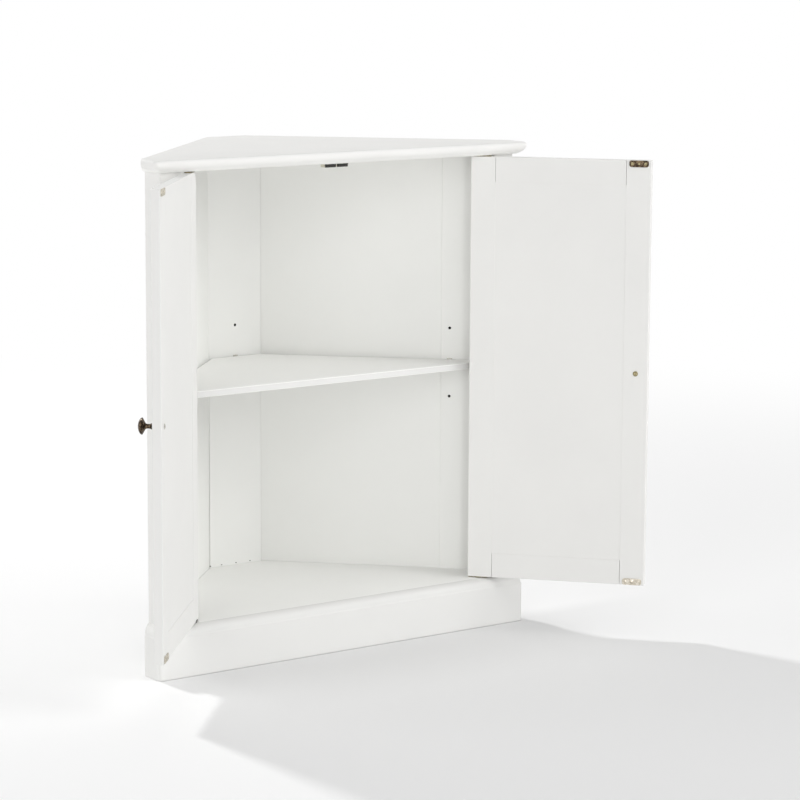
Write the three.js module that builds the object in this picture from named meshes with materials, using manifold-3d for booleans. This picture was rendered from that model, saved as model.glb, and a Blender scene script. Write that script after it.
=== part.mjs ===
// Painted corner cupboard with two doors that turn on pivot pins.
//
// Millimetres, +Z up. +X runs along the front to the right, +Y runs back into the corner of the room.
// Inside the cupboard group, y = 0 is the front face of the doors and of the boards beside them, and
// x = 0 is the middle of the front. The two walls of the room run at 45 degrees to the front, and a
// place on a wall's surface has |x| + y = wallReach.

import * as THREE from 'three';
import { mergeVertices } from 'three/addons/utils/BufferGeometryUtils.js';
import Module from 'manifold-3d';

const wasm = await Module();
wasm.setup();

// Driving dimensions of the carcase
const overallHeight = 889;
const bodyHalfWidth = 374;
const returnDepth = 47;
const backCornerHalfWidth = 41;
const overhang = 20;
const boardThickness = 16;
const stileWidth = 42;
const stileArris = 3;

// Top panel and its nosing
const topThickness = 22;
const nosingFoot = 6;
const nosingRound = 5;
const mouldingCorner = 8;

// Floor, plinth and bottom rail
const plinthHeight = 88;
const plinthMoulding = 16;
const plinthLip = 2;
const plinthQuirk = 1.5;
const floorThickness = 15;

// Boards along the walls and across the back corner
const sideBoardThickness = 12;
const sideBoardWidth = 88;
const rebateWidth = 12;
const backPanelThickness = 4;
const backPanelSetback = 4;
const backPanelDrop = 25;
const rearBoardDepth = 29;
const rearBoardThickness = 15;

// Shelf and its supports
const shelfThickness = 12;
const shelfSetback = 42;
const shelfMargin = 2.5;
const shelfArris = 1.5;
const holeDiameter = 5.4;
const holeDepth = 9;
const holeEdge = 16;
const holePitch = 64;
const middleHoleHeight = 477;
const holesPerColumn = 3;
const pegLength = 8;
const supportPlate = 1.5;
const supportWidth = 10;
const supportReach = 10;
const supportDrop = 5.5;
const supportRise = 6;

// Doors
const doorThickness = 16;
const doorSideGap = 2.5;
const doorEndGap = 2.5;
const meetingGap = 3;
const frameWidth = 45;
const doorArris = 1.5;
const grooveDepth = 8;
const panelRecessOutside = 7;
const panelRecessInside = 0.5;
const tongueThickness = 4;
const pivotInset = 19;
const leftDoorOpening = 132;
const rightDoorOpening = 131;

// Pivots: a plate with a pin on each end of a door, and a bush in the panel that it faces
const pinDiameter = 6;
const pinInBush = 8;
const pivotPlateLength = 36;
const pivotPlateWidth = 12;
const pivotPlateThickness = 1.2;
const bushDiameter = 10;
const bushDepth = 11;
const flangeDiameter = 13;
const flangeThickness = 0.6;

// Knobs
const knobRise = 2.5;
const knobProjection = 26.5;
const knobDiameter = 28;
const knobRimHeight = 19.8;
const knobNeckHeight = 10.5;
const knobNeckDiameter = 7.5;
const knobBaseDiameter = 14.5;
const knobBaseThickness = 3;
const screwDiameter = 4;
const screwHeadDiameter = 9.4;
const screwHeadThickness = 1.8;
const screwInKnob = 9;

// Strike plates and the double catch
const plateLength = 35;
const plateWidth = 12;
const plateCorner = 4;
const plateThickness = 1.2;
const plateInset = 0.3;
const plateScrewPitch = 24;
const plateScrewHole = 3.6;
const plateBossDiameter = 8;
const plateBossRise = 1.2;
const catchLength = 80;
const catchDepth = 14;
const catchEarThickness = 2;
const catchHeight = 8.8;
const catchBodyLength = 52;
const magnetLength = 22.5;
const magnetDepth = 4;
const magnetGap = 2.6;
const catchGap = 0.5;

// Clearances shared by all pieces
const clearance = 0.3;
const cutOverrun = 1;

// How finely round shapes are cut into facets
const cornerSteps = 4;
const nosingSteps = 7;
const roundSegments = 32;
const pinSegments = 24;
const holeSegments = 16;

// Levels and places that follow from the sizes above
const diagonal = Math.SQRT2;
const quarterTurn = Math.PI / 2;
const wallReach = bodyHalfWidth + returnDepth;
const backDepth = wallReach - backCornerHalfWidth;
const topUnderside = overallHeight - topThickness;
const openingHalfWidth = bodyHalfWidth - stileWidth;
const returnInner = bodyHalfWidth - boardThickness;
const sideBoardReach = wallReach - sideBoardThickness * diagonal;
const backPanelInner = backPanelSetback + backPanelThickness;
const backPanelReach = wallReach - backPanelInner * diagonal;
const rearBoardFront = backDepth - rearBoardDepth;
const rearBoardHalfWidth = backPanelReach - rearBoardFront;
const floorTop = plinthHeight;
const floorUnderside = floorTop - floorThickness;
const doorBottom = floorTop + doorEndGap;
const doorTop = topUnderside - doorEndGap;
const hingeEdge = openingHalfWidth - doorSideGap;
const meetingEdge = meetingGap / 2;
const doorWidth = hingeEdge - meetingEdge;
const pivotX = hingeEdge - pivotInset;
const pivotY = doorThickness / 2;
const knobHeight = (doorBottom + doorTop) / 2 + knobRise;
const shelfUnderside = middleHoleHeight - supportDrop;

// Materials
function paint(name, colour, roughness) {
  const material = new THREE.MeshStandardMaterial({ color: colour, roughness, metalness: 0 });
  material.name = name;
  return material;
}

function metal(name, colour, roughness) {
  const material = new THREE.MeshStandardMaterial({ color: colour, roughness, metalness: 1 });
  material.name = name;
  return material;
}

const outsidePaint = () => paint('white outside paint', 0xf1f0ec, 0.38);
const insidePaint = () => paint('white inside paint', 0xecece7, 0.5);
const antiqueBronze = () => metal('antique bronze', 0x5a4636, 0.4);
const platedSteel = () => metal('plated steel', 0xb9b4aa, 0.3);
const agedBrass = () => metal('aged brass', 0x9a8250, 0.4);
const magnetSteel = () => metal('dark magnet steel', 0x3a3a38, 0.35);

function creamPlastic() {
  const material = new THREE.MeshStandardMaterial({ color: 0xe6e2d3, roughness: 0.45, metalness: 0 });
  material.name = 'cream plastic';
  return material;
}

const cupboard = new THREE.Group();

function addPiece(parent, name, geometry, material) {
  const mesh = new THREE.Mesh(geometry, material);
  mesh.name = name;
  parent.add(mesh);
  return mesh;
}

// Joins and cuts, on closed meshes whose shared corners are merged
function toSolid(geometry) {
  const bare = geometry.clone();
  bare.deleteAttribute('normal');
  bare.deleteAttribute('uv');
  const merged = mergeVertices(bare);
  const mesh = new wasm.Mesh({
    numProp: 3,
    vertProperties: new Float32Array(merged.attributes.position.array),
    triVerts: new Uint32Array(merged.index.array),
  });
  return new wasm.Manifold(mesh);
}

function toGeometry(solid) {
  const mesh = solid.getMesh();
  const geometry = new THREE.BufferGeometry();
  geometry.setAttribute('position', new THREE.BufferAttribute(mesh.vertProperties, mesh.numProp));
  geometry.setIndex(new THREE.BufferAttribute(mesh.triVerts, 1));
  geometry.computeVertexNormals();
  return geometry;
}

function cutAll(geometry, cutters) {
  return toGeometry(cutters.reduce((solid, cutter) => solid.subtract(toSolid(cutter)), toSolid(geometry)));
}

function joinAll(geometries) {
  return toGeometry(geometries.map(toSolid).reduce((whole, next) => whole.add(next)));
}

// A box between two opposite corners
function boxBetween(low, high) {
  const size = high.map((value, axis) => value - low[axis]);
  const middle = high.map((value, axis) => (value + low[axis]) / 2);
  return new THREE.BoxGeometry(...size).translate(...middle);
}

// An outline drawn from above, raised from one height to another
function board(outline, bottom, top) {
  const shape = new THREE.Shape(outline.map(([x, y]) => new THREE.Vector2(x, y)));
  const geometry = new THREE.ExtrudeGeometry(shape, { depth: top - bottom, bevelEnabled: false });
  return geometry.translate(0, 0, bottom);
}

// The same outline on the other side of the middle where side is -1
const onSide = (side, outline) => outline.map(([x, y]) => [side * x, y]);

// Points of a quarter circle or any other arc, in degrees
function arc(centre, radius, from, to, steps) {
  return Array.from({ length: steps + 1 }, (_, i) => {
    const angle = THREE.MathUtils.degToRad(from + ((to - from) * i) / steps);
    return [centre[0] + radius * Math.cos(angle), centre[1] + radius * Math.sin(angle)];
  });
}

// A closed skin over outlines that all have the same number of points, one above the other
function stack(layers) {
  const count = layers[0].outline.length;
  const positions = layers.flatMap(({ outline, height }) => outline.flatMap(([x, y]) => [x, y, height]));
  const index = [];
  for (let level = 0; level < layers.length - 1; level += 1) {
    for (let i = 0; i < count; i += 1) {
      const a = level * count + i;
      const b = level * count + ((i + 1) % count);
      index.push(a, b, b + count, a, b + count, a + count);
    }
  }
  const capOf = (layer) => THREE.ShapeUtils.triangulateShape(
    layer.outline.map(([x, y]) => new THREE.Vector2(x, y)), []);
  const topStart = (layers.length - 1) * count;
  capOf(layers[0]).forEach(([a, b, c]) => index.push(a, c, b));
  capOf(layers[layers.length - 1]).forEach(([a, b, c]) => index.push(topStart + a, topStart + b, topStart + c));
  const geometry = new THREE.BufferGeometry();
  geometry.setAttribute('position', new THREE.Float32BufferAttribute(positions, 3));
  geometry.setIndex(index);
  geometry.computeVertexNormals();
  return geometry;
}

// A turned piece on the Z axis, from the radius and height of its profile's points
function turned(profile, segments) {
  const lathe = new THREE.LatheGeometry(profile.map(([r, z]) => new THREE.Vector2(r, z)), segments);
  return lathe.rotateX(quarterTurn);
}

function rod(diameter, from, to, segments) {
  return turned([[0, from], [diameter / 2, from], [diameter / 2, to], [0, to]], segments);
}

// Where a place on a wall board lies: along runs back into the corner, depth runs into the room
function onWall(side, along, depth, height) {
  const x = (wallReach - depth * diagonal - along * diagonal) / 2;
  const y = (wallReach - depth * diagonal + along * diagonal) / 2;
  return new THREE.Vector3(side * x, y, height);
}

// The outline of the top at one distance outside the body: front, both short sides, walls, back corner
function topOutline(offset) {
  const half = bodyHalfWidth + offset;
  const corner = [half - mouldingCorner, mouldingCorner - offset];
  return [
    [-half, wallReach - half],
    ...arc([-corner[0], corner[1]], mouldingCorner, 180, 270, cornerSteps),
    ...arc(corner, mouldingCorner, 270, 360, cornerSteps),
    [half, wallReach - half],
    [backCornerHalfWidth, backDepth],
    [-backCornerHalfWidth, backDepth],
  ];
}

// The nosing swells out from its foot in one sweep and turns over in a small round at the top
function nosingProfile() {
  const widest = topUnderside + topThickness - nosingRound;
  const sweep = new THREE.QuadraticBezierCurve(
    new THREE.Vector2(nosingFoot, topUnderside),
    new THREE.Vector2(overhang, topUnderside + nosingFoot),
    new THREE.Vector2(overhang, widest),
  );
  const round = arc([overhang - nosingRound, widest], nosingRound, 0, 90, cornerSteps);
  return [...sweep.getPoints(nosingSteps).map((point) => [point.x, point.y]), ...round.slice(1)];
}

function addTop() {
  const slab = stack(nosingProfile().map(([offset, height]) => ({ outline: topOutline(offset), height })));
  const sockets = [-1, 1].map((side) => rod(
    bushDiameter + 2 * clearance, topUnderside - cutOverrun, topUnderside + bushDepth + clearance, pinSegments)
    .translate(side * pivotX, pivotY, 0));
  addPiece(cupboard, 'top_panel', cutAll(slab, sockets), outsidePaint());
}

// The upright front boards and the short boards behind them
function addFrontPost(side, word) {
  const stile = [
    [openingHalfWidth, 0],
    ...arc([bodyHalfWidth - stileArris, stileArris], stileArris, 270, 360, cornerSteps),
    [bodyHalfWidth, boardThickness],
    [openingHalfWidth, boardThickness],
  ];
  addPiece(cupboard, `${word}_stile`, board(onSide(side, stile), 0, topUnderside), outsidePaint());

  const shortBoard = [
    [returnInner, boardThickness],
    [bodyHalfWidth, boardThickness],
    [bodyHalfWidth, wallReach - bodyHalfWidth],
    [returnInner, wallReach - returnInner],
  ];
  addPiece(cupboard, `${word}_return`, board(onSide(side, shortBoard), 0, topUnderside), outsidePaint());
}

// Heights of the shelf-pin holes in one column
function holeHeights() {
  const middle = (holesPerColumn - 1) / 2;
  return Array.from({ length: holesPerColumn }, (_, i) => middleHoleHeight + (i - middle) * holePitch);
}

// How far along a wall the side board runs, from the short board to its rear end
const sideBoardStart = (sideBoardReach - 2 * (returnInner - clearance)) / diagonal;
const sideBoardEnd = sideBoardStart + sideBoardWidth;
const holeColumns = [sideBoardStart + holeEdge, sideBoardEnd - holeEdge];

// A hole bored square into a wall board from its room side
function wallHole(side, along, height, depth) {
  const mouth = onWall(side, along, sideBoardThickness + cutOverrun, height);
  return rod(holeDiameter, 0, depth + cutOverrun, holeSegments)
    .rotateY(side * quarterTurn)
    .rotateZ((side * quarterTurn) / 2)
    .translate(mouth.x, mouth.y, mouth.z);
}

function addSideBoard(side, word) {
  const place = (along, depth) => {
    const point = onWall(1, along, depth, 0);
    return [point.x, point.y];
  };
  const frontX = returnInner - clearance;
  const outline = [
    [frontX, wallReach - frontX],
    place(sideBoardEnd - rebateWidth, 0),
    place(sideBoardEnd - rebateWidth, backPanelInner + clearance),
    place(sideBoardEnd, backPanelInner + clearance),
    place(sideBoardEnd, sideBoardThickness),
    [frontX, sideBoardReach - frontX],
  ];
  const holes = holeColumns.flatMap((along) => holeHeights().map(
    (height) => wallHole(side, along, height, holeDepth)));
  const drilled = cutAll(board(onSide(side, outline), 0, topUnderside), holes);
  addPiece(cupboard, `${word}_side_board`, drilled, insidePaint());
}

// The thin back lies in the side board's rebate and on the rear board's bevelled edge
function addBackPanel(side, word) {
  const panelStart = sideBoardEnd - rebateWidth + clearance;
  const panelEnd = (rearBoardFront + rearBoardThickness - backCornerHalfWidth) / diagonal;
  const outline = [[panelStart, backPanelSetback], [panelEnd, backPanelSetback],
    [panelEnd, backPanelInner], [panelStart, backPanelInner]].map(([along, depth]) => {
    const point = onWall(1, along, depth, 0);
    return [point.x, point.y];
  });
  const panel = board(onSide(side, outline), floorUnderside - backPanelDrop, topUnderside);
  addPiece(cupboard, `${word}_back_panel`, panel, insidePaint());
}

function addRearBoard() {
  const bevelGap = clearance * diagonal;
  const front = rearBoardHalfWidth - bevelGap;
  const back = front - rearBoardThickness;
  const outline = [
    [-front, rearBoardFront],
    [front, rearBoardFront],
    [back, rearBoardFront + rearBoardThickness],
    [-back, rearBoardFront + rearBoardThickness],
  ];
  const holes = holeHeights().map((height) => rod(holeDiameter, -cutOverrun, holeDepth, holeSegments)
    .rotateX(-quarterTurn)
    .translate(0, rearBoardFront, height));
  addPiece(cupboard, 'rear_board', cutAll(board(outline, 0, topUnderside), holes), insidePaint());
}

function addFloor() {
  const sideReach = sideBoardReach - clearance * diagonal;
  const backReach = backPanelReach - clearance * diagonal;
  const step = onWall(1, sideBoardEnd + clearance, sideBoardThickness + clearance, 0);
  const stepBack = onWall(1, sideBoardEnd + clearance, backPanelInner + clearance, 0);
  const right = [
    [openingHalfWidth, 0],
    [openingHalfWidth, boardThickness],
    [returnInner, boardThickness],
    [returnInner, sideReach - returnInner],
    [step.x, step.y],
    [stepBack.x, stepBack.y],
    [backReach - rearBoardFront, rearBoardFront],
  ];
  const outline = [...right, ...onSide(-1, right).reverse()];
  const sockets = [-1, 1].map((side) => rod(
    bushDiameter + 2 * clearance, floorTop - bushDepth - clearance, floorTop + cutOverrun, pinSegments)
    .translate(side * pivotX, pivotY, 0));
  addPiece(cupboard, 'floor_panel', cutAll(board(outline, floorUnderside, floorTop), sockets), insidePaint());
  const rail = boxBetween([-openingHalfWidth, 0, 0], [openingHalfWidth, boardThickness, floorUnderside]);
  addPiece(cupboard, 'bottom_rail', rail, insidePaint());
}

// The plinth stands out by the overhang, then steps in and sweeps back to a thin lip at its top
function plinthProfile() {
  const flatTop = plinthHeight - plinthMoulding;
  const sweep = new THREE.QuadraticBezierCurve(
    new THREE.Vector2(overhang - plinthQuirk, flatTop + plinthQuirk),
    new THREE.Vector2(overhang - plinthQuirk, plinthHeight - plinthQuirk),
    new THREE.Vector2(plinthLip, plinthHeight),
  );
  return [
    [overhang, 0],
    [overhang, flatTop - plinthQuirk],
    [overhang - plinthQuirk / 2, flatTop],
    ...sweep.getPoints(nosingSteps).map((point) => [point.x, point.y]),
  ];
}

// Corner radius of the plinth where it stands out by offset, so that the thin lip stays whole
const plinthCorner = (offset) => Math.min(mouldingCorner, offset);

function addPlinth() {
  const mitreGap = (clearance * diagonal) / 2;
  const frontOutline = (offset) => {
    const radius = plinthCorner(offset);
    const centre = [bodyHalfWidth + offset - radius, radius - offset];
    const corner = arc([centre[0] - mitreGap, centre[1]], radius, 270, 315, cornerSteps);
    const right = [...corner, [bodyHalfWidth - mitreGap, 0]];
    return [...onSide(-1, right).reverse(), ...right];
  };
  const frontLayers = plinthProfile().map(([offset, height]) => ({ outline: frontOutline(offset), height }));
  addPiece(cupboard, 'plinth_front', stack(frontLayers), outsidePaint());

  const returnOutline = (offset) => {
    const radius = plinthCorner(offset);
    const centre = [bodyHalfWidth + offset - radius, radius - offset];
    return [
      [bodyHalfWidth, mitreGap],
      ...arc([centre[0], centre[1] + mitreGap], radius, 315, 360, cornerSteps),
      [bodyHalfWidth + offset, returnDepth - offset],
      [bodyHalfWidth, returnDepth],
    ];
  };
  [[-1, 'left'], [1, 'right']].forEach(([side, word]) => {
    const layers = plinthProfile().map(([offset, height]) => {
      const outline = onSide(side, returnOutline(offset));
      return { outline: side < 0 ? outline.reverse() : outline, height };
    });
    addPiece(cupboard, `plinth_${word}`, stack(layers), outsidePaint());
  });
}

// The shelf stands clear of the boards by the room that its supports need
function addShelf() {
  const reach = sideBoardReach - shelfMargin * diagonal;
  const sideX = returnInner - shelfMargin;
  const rearY = rearBoardFront - shelfMargin;
  const outline = (inset) => {
    const right = [
      [sideX - inset, shelfSetback + inset],
      [sideX - inset, reach - sideX],
      [reach - rearY - inset, rearY],
    ];
    return [...onSide(-1, right).reverse(), ...right];
  };
  const low = shelfUnderside;
  const high = shelfUnderside + shelfThickness;
  const layers = [
    { outline: outline(shelfArris), height: low },
    { outline: outline(0), height: low + shelfArris },
    { outline: outline(0), height: high - shelfArris },
    { outline: outline(shelfArris), height: high },
  ];
  addPiece(cupboard, 'shelf', stack(layers), insidePaint());
}

// A shelf support: a peg in the hole, a plate against the board and a tab under the shelf.
// Its own y = 0 is the board's face, and +Y runs into the board.
function supportGeometry() {
  const plateFront = -clearance - supportPlate;
  const peg = rod(holeDiameter - 2 * clearance, 0, pegLength + supportPlate, holeSegments)
    .rotateX(-quarterTurn)
    .translate(0, plateFront, 0);
  const tabTop = -supportDrop - clearance;
  const plate = boxBetween(
    [-supportWidth / 2, plateFront, tabTop - supportPlate], [supportWidth / 2, -clearance, supportRise]);
  const tab = boxBetween(
    [-supportWidth / 2, plateFront - supportReach, tabTop - supportPlate],
    [supportWidth / 2, plateFront + supportPlate / 2, tabTop]);
  return joinAll([plate, tab, peg]);
}

function addSupports() {
  [[-1, 'left'], [1, 'right']].forEach(([side, word]) => {
    holeColumns.forEach((along, i) => {
      const support = addPiece(cupboard, `shelf_support_${word}_${i + 1}`, supportGeometry(), platedSteel());
      support.position.copy(onWall(side, along, sideBoardThickness, middleHoleHeight));
      support.rotation.z = (-side * quarterTurn) / 2;
    });
  });
  const rear = addPiece(cupboard, 'shelf_support_rear', supportGeometry(), platedSteel());
  rear.position.set(0, rearBoardFront, middleHoleHeight);
}

// Bushes in the top and floor panels take the pins
function addBushes(side, word) {
  const bore = pinDiameter / 2 + clearance;
  const profile = [
    [bore, -flangeThickness],
    [flangeDiameter / 2, -flangeThickness],
    [flangeDiameter / 2, 0],
    [bushDiameter / 2, 0],
    [bushDiameter / 2, bushDepth],
    [bore, bushDepth],
    [bore, -flangeThickness],
  ];
  const upper = turned(profile, pinSegments).translate(side * pivotX, pivotY, topUnderside);
  addPiece(cupboard, `${word}_top_bush`, upper, agedBrass());
  const lower = turned(profile, pinSegments).rotateX(2 * quarterTurn).translate(side * pivotX, pivotY, floorTop);
  addPiece(cupboard, `${word}_bottom_bush`, lower, agedBrass());
}

// The double catch hangs from the top panel: a moulded housing with an ear at each end, and a magnet
// on each side of its middle, just behind where the closed doors bring their strike plates
function addCatch() {
  const front = doorThickness + clearance + plateThickness + plateBossRise + catchGap;
  const housingFront = front + magnetDepth;
  const underside = topUnderside - catchHeight;
  const ears = boxBetween(
    [-catchLength / 2, housingFront, topUnderside - catchEarThickness],
    [catchLength / 2, front + catchDepth, topUnderside]);
  const body = boxBetween(
    [-catchBodyLength / 2, housingFront, underside], [catchBodyLength / 2, front + catchDepth, topUnderside]);
  addPiece(cupboard, 'catch_housing', joinAll([ears, body]), creamPlastic());
  [[-1, 'left'], [1, 'right']].forEach(([side, word]) => {
    const ends = [side * (magnetGap / 2), side * (magnetGap / 2 + magnetLength)].sort((a, b) => a - b);
    const magnet = boxBetween([ends[0], front, underside], [ends[1], housingFront, topUnderside]);
    addPiece(cupboard, `catch_${word}_magnet`, magnet, magnetSteel());
  });
}

// One door, drawn closed with its pins on the group's Z axis; inward is +Y, and the hinge edge is
// on the door's own side of the cupboard
function addDoor(side, word, opening) {
  const door = new THREE.Group();
  door.position.set(side * pivotX, pivotY, 0);
  door.rotation.z = side * THREE.MathUtils.degToRad(opening);
  cupboard.add(door);

  const outer = -doorThickness / 2;
  const inner = doorThickness / 2;
  const hingeX = pivotInset;
  const meetingX = pivotInset - doorWidth;
  const panelFront = outer + panelRecessOutside;
  const panelBack = inner - panelRecessInside;
  const grooveFront = panelFront - clearance;
  const grooveBack = panelFront + tongueThickness + clearance;
  const middleOfStile = meetingX + frameWidth / 2;

  // An upright of the frame, with a groove for the panel along its inner edge
  const upright = (edgeX, inward) => {
    const jointX = edgeX + inward * frameWidth;
    const grooveX = jointX - inward * grooveDepth;
    const roundX = edgeX + inward * doorArris;
    const turn = inward < 0 ? 1 : -1;
    const outerRound = arc([roundX, outer + doorArris], doorArris, 270, 270 + 90 * turn, cornerSteps);
    const innerRound = arc([roundX, inner - doorArris], doorArris, 90 - 90 * turn, 90, cornerSteps);
    return [
      ...outerRound,
      ...innerRound,
      [jointX, inner],
      [jointX, grooveBack],
      [grooveX, grooveBack],
      [grooveX, grooveFront],
      [jointX, grooveFront],
      [jointX, outer],
    ];
  };
  const hingeStile = board(onSide(side, upright(hingeX, -1)), doorBottom, doorTop);
  addPiece(door, `${word}_door_hinge_stile`, hingeStile, outsidePaint());

  const screwHole = rod(screwDiameter + 2 * clearance, outer - cutOverrun, inner + cutOverrun, holeSegments)
    .rotateX(-quarterTurn)
    .translate(side * middleOfStile, 0, knobHeight);
  const meetingStile = board(onSide(side, upright(meetingX, 1)), doorBottom, doorTop);
  addPiece(door, `${word}_door_meeting_stile`, cutAll(meetingStile, [screwHole]), outsidePaint());

  // A rail with a tongue at each end, in the grooves of the uprights
  const railLeft = meetingX + frameWidth + clearance;
  const railRight = hingeX - frameWidth - clearance;
  const tongueReach = grooveDepth - clearance;
  const rail = (edgeZ, inward) => {
    const jointZ = edgeZ + inward * frameWidth;
    const grooveZ = jointZ - inward * grooveDepth;
    const body = boxBetween(
      [railLeft, outer, Math.min(edgeZ, jointZ)], [railRight, inner, Math.max(edgeZ, jointZ)]);
    const groove = boxBetween(
      [railLeft - cutOverrun, grooveFront, Math.min(grooveZ, jointZ + inward * cutOverrun)],
      [railRight + cutOverrun, grooveBack, Math.max(grooveZ, jointZ + inward * cutOverrun)]);
    const tongue = boxBetween(
      [railLeft - tongueReach, grooveFront + clearance, Math.min(edgeZ, grooveZ)],
      [railRight + tongueReach, grooveBack - clearance, Math.max(edgeZ, grooveZ)]);
    const solid = toSolid(body).subtract(toSolid(groove)).add(toSolid(tongue));
    return toGeometry(side < 0 ? solid.mirror([1, 0, 0]) : solid);
  };
  addPiece(door, `${word}_door_top_rail`, rail(doorTop, -1), outsidePaint());
  addPiece(door, `${word}_door_bottom_rail`, rail(doorBottom, 1), outsidePaint());

  // The panel fills the frame, and a tongue round its outer face lies in the groove
  const slab = (edge, front, back) => {
    const ends = [side * (meetingX + edge), side * (hingeX - edge)].sort((a, b) => a - b);
    return boxBetween([ends[0], front, doorBottom + edge], [ends[1], back, doorTop - edge]);
  };
  const panel = joinAll([
    slab(frameWidth + clearance, panelFront, panelBack),
    slab(frameWidth - tongueReach, panelFront, panelFront + tongueThickness),
  ]);
  addPiece(door, `${word}_door_panel`, panel, outsidePaint());

  addPivots(door, side, word);
  addKnob(door, word, side * middleOfStile, outer);
  addKnobScrew(door, word, side * middleOfStile, inner);
  addStrikePlates(door, word, side * middleOfStile, inner);
}

// A plate on each end of the door carries the pin that turns in a bush
function addPivots(door, side, word) {
  const middle = pivotInset - pivotPlateLength / 2 - clearance;
  const plateBetween = (low, high) => boxBetween(
    [middle - pivotPlateLength / 2, -pivotPlateWidth / 2, low],
    [middle + pivotPlateLength / 2, pivotPlateWidth / 2, high]);
  const lowerTop = doorBottom - clearance;
  const upperBottom = doorTop + clearance;
  const lower = joinAll([
    plateBetween(lowerTop - pivotPlateThickness, lowerTop),
    rod(pinDiameter, floorTop - pinInBush, lowerTop - pivotPlateThickness / 2, pinSegments),
  ]);
  const upper = joinAll([
    plateBetween(upperBottom, upperBottom + pivotPlateThickness),
    rod(pinDiameter, upperBottom + pivotPlateThickness / 2, topUnderside + pinInBush, pinSegments),
  ]);
  const place = (geometry) => (side < 0 ? toGeometry(toSolid(geometry).mirror([1, 0, 0])) : geometry);
  addPiece(door, `${word}_door_bottom_pivot`, place(lower), agedBrass());
  addPiece(door, `${word}_door_top_pivot`, place(upper), agedBrass());
}

// A turned knob with a flared foot, a thin neck and a wide flattened head, bored for its screw
function addKnob(door, word, x, face) {
  const foot = knobBaseDiameter / 2;
  const neck = knobNeckDiameter / 2;
  const rim = knobDiameter / 2;
  const bore = screwDiameter / 2 + clearance;
  const boreEnd = screwInKnob + clearance;
  const shank = knobNeckHeight - knobBaseThickness;
  const flare = new THREE.CubicBezierCurve(
    new THREE.Vector2(foot, knobBaseThickness),
    new THREE.Vector2(neck, knobBaseThickness + shank / 3),
    new THREE.Vector2(neck, knobNeckHeight - shank / 3),
    new THREE.Vector2(neck, knobNeckHeight),
  );
  const headBack = new THREE.CubicBezierCurve(
    new THREE.Vector2(neck, knobNeckHeight),
    new THREE.Vector2(neck, (knobNeckHeight + knobRimHeight) / 2),
    new THREE.Vector2(foot, (knobNeckHeight + knobRimHeight) / 2),
    new THREE.Vector2(rim, knobRimHeight),
  );
  const dome = new THREE.CubicBezierCurve(
    new THREE.Vector2(rim, knobRimHeight),
    new THREE.Vector2(rim, (knobRimHeight + knobProjection) / 2),
    new THREE.Vector2(foot, knobProjection),
    new THREE.Vector2(0, knobProjection),
  );
  const along = (curve) => curve.getPoints(nosingSteps).slice(1).map((point) => [point.x, point.y]);
  const profile = [
    [0, boreEnd],
    [bore, boreEnd],
    [bore, 0],
    [foot, 0],
    [foot, knobBaseThickness],
    ...along(flare),
    ...along(headBack),
    ...along(dome),
  ];
  const knob = turned(profile, roundSegments).rotateX(quarterTurn);
  const mesh = addPiece(door, `${word}_knob`, knob, antiqueBronze());
  mesh.position.set(x, face - clearance, knobHeight);
}

function addKnobScrew(door, word, x, face) {
  const shaft = screwDiameter / 2;
  const head = screwHeadDiameter / 2;
  const shaftEnd = doorThickness + screwInKnob;
  const shoulder = screwHeadThickness / 3;
  const screw = turned([
    [0, -shaftEnd],
    [shaft, -shaftEnd],
    [shaft, clearance],
    [head, clearance],
    [head, clearance + shoulder],
    [head - shoulder, clearance + 2 * shoulder],
    [0, clearance + screwHeadThickness],
  ], holeSegments).rotateX(-quarterTurn);
  const mesh = addPiece(door, `${word}_knob_screw`, screw, agedBrass());
  mesh.position.set(x, face, knobHeight);
}

// Round-cornered strike plates with a raised boss, one near each end of the meeting edge
function addStrikePlates(door, word, x, face) {
  const cornerX = plateLength / 2 - plateCorner;
  const cornerY = plateWidth / 2 - plateCorner;
  const outline = [
    ...arc([cornerX, -cornerY], plateCorner, -90, 0, cornerSteps),
    ...arc([cornerX, cornerY], plateCorner, 0, 90, cornerSteps),
    ...arc([-cornerX, cornerY], plateCorner, 90, 180, cornerSteps),
    ...arc([-cornerX, -cornerY], plateCorner, 180, 270, cornerSteps),
  ];
  const blank = board(outline, 0, plateThickness);
  const screwHoles = [-1, 1].map((end) => rod(plateScrewHole, -cutOverrun, plateThickness + cutOverrun, holeSegments)
    .translate((end * plateScrewPitch) / 2, 0, 0));
  const bossRadius = plateBossDiameter / 2;
  const boss = turned([
    [0, plateThickness / 2],
    [bossRadius, plateThickness / 2],
    [bossRadius, plateThickness],
    [bossRadius / 2, plateThickness + plateBossRise],
    [0, plateThickness + plateBossRise],
  ], holeSegments);
  const flat = joinAll([cutAll(blank, screwHoles), boss]).rotateX(-quarterTurn);
  const fromEnd = plateInset + plateWidth / 2;
  const heights = { top: doorTop - fromEnd, bottom: doorBottom + fromEnd };
  Object.entries(heights).forEach(([end, height]) => {
    const plate = addPiece(door, `${word}_door_${end}_strike_plate`, flat.clone(), antiqueBronze());
    plate.position.set(x, face + clearance, height);
  });
}

addTop();
addFrontPost(-1, 'left');
addFrontPost(1, 'right');
addSideBoard(-1, 'left');
addSideBoard(1, 'right');
addBackPanel(-1, 'left');
addBackPanel(1, 'right');
addRearBoard();
addFloor();
addPlinth();
addShelf();
addSupports();
addBushes(-1, 'left');
addBushes(1, 'right');
addCatch();
addDoor(-1, 'left', leftDoorOpening);
addDoor(1, 'right', rightDoorOpening);

// The origin is under the middle of the front plinth board, on the floor
cupboard.position.y = overhang / 2;
const model = new THREE.Group();
model.add(cupboard);
export default model;
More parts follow.
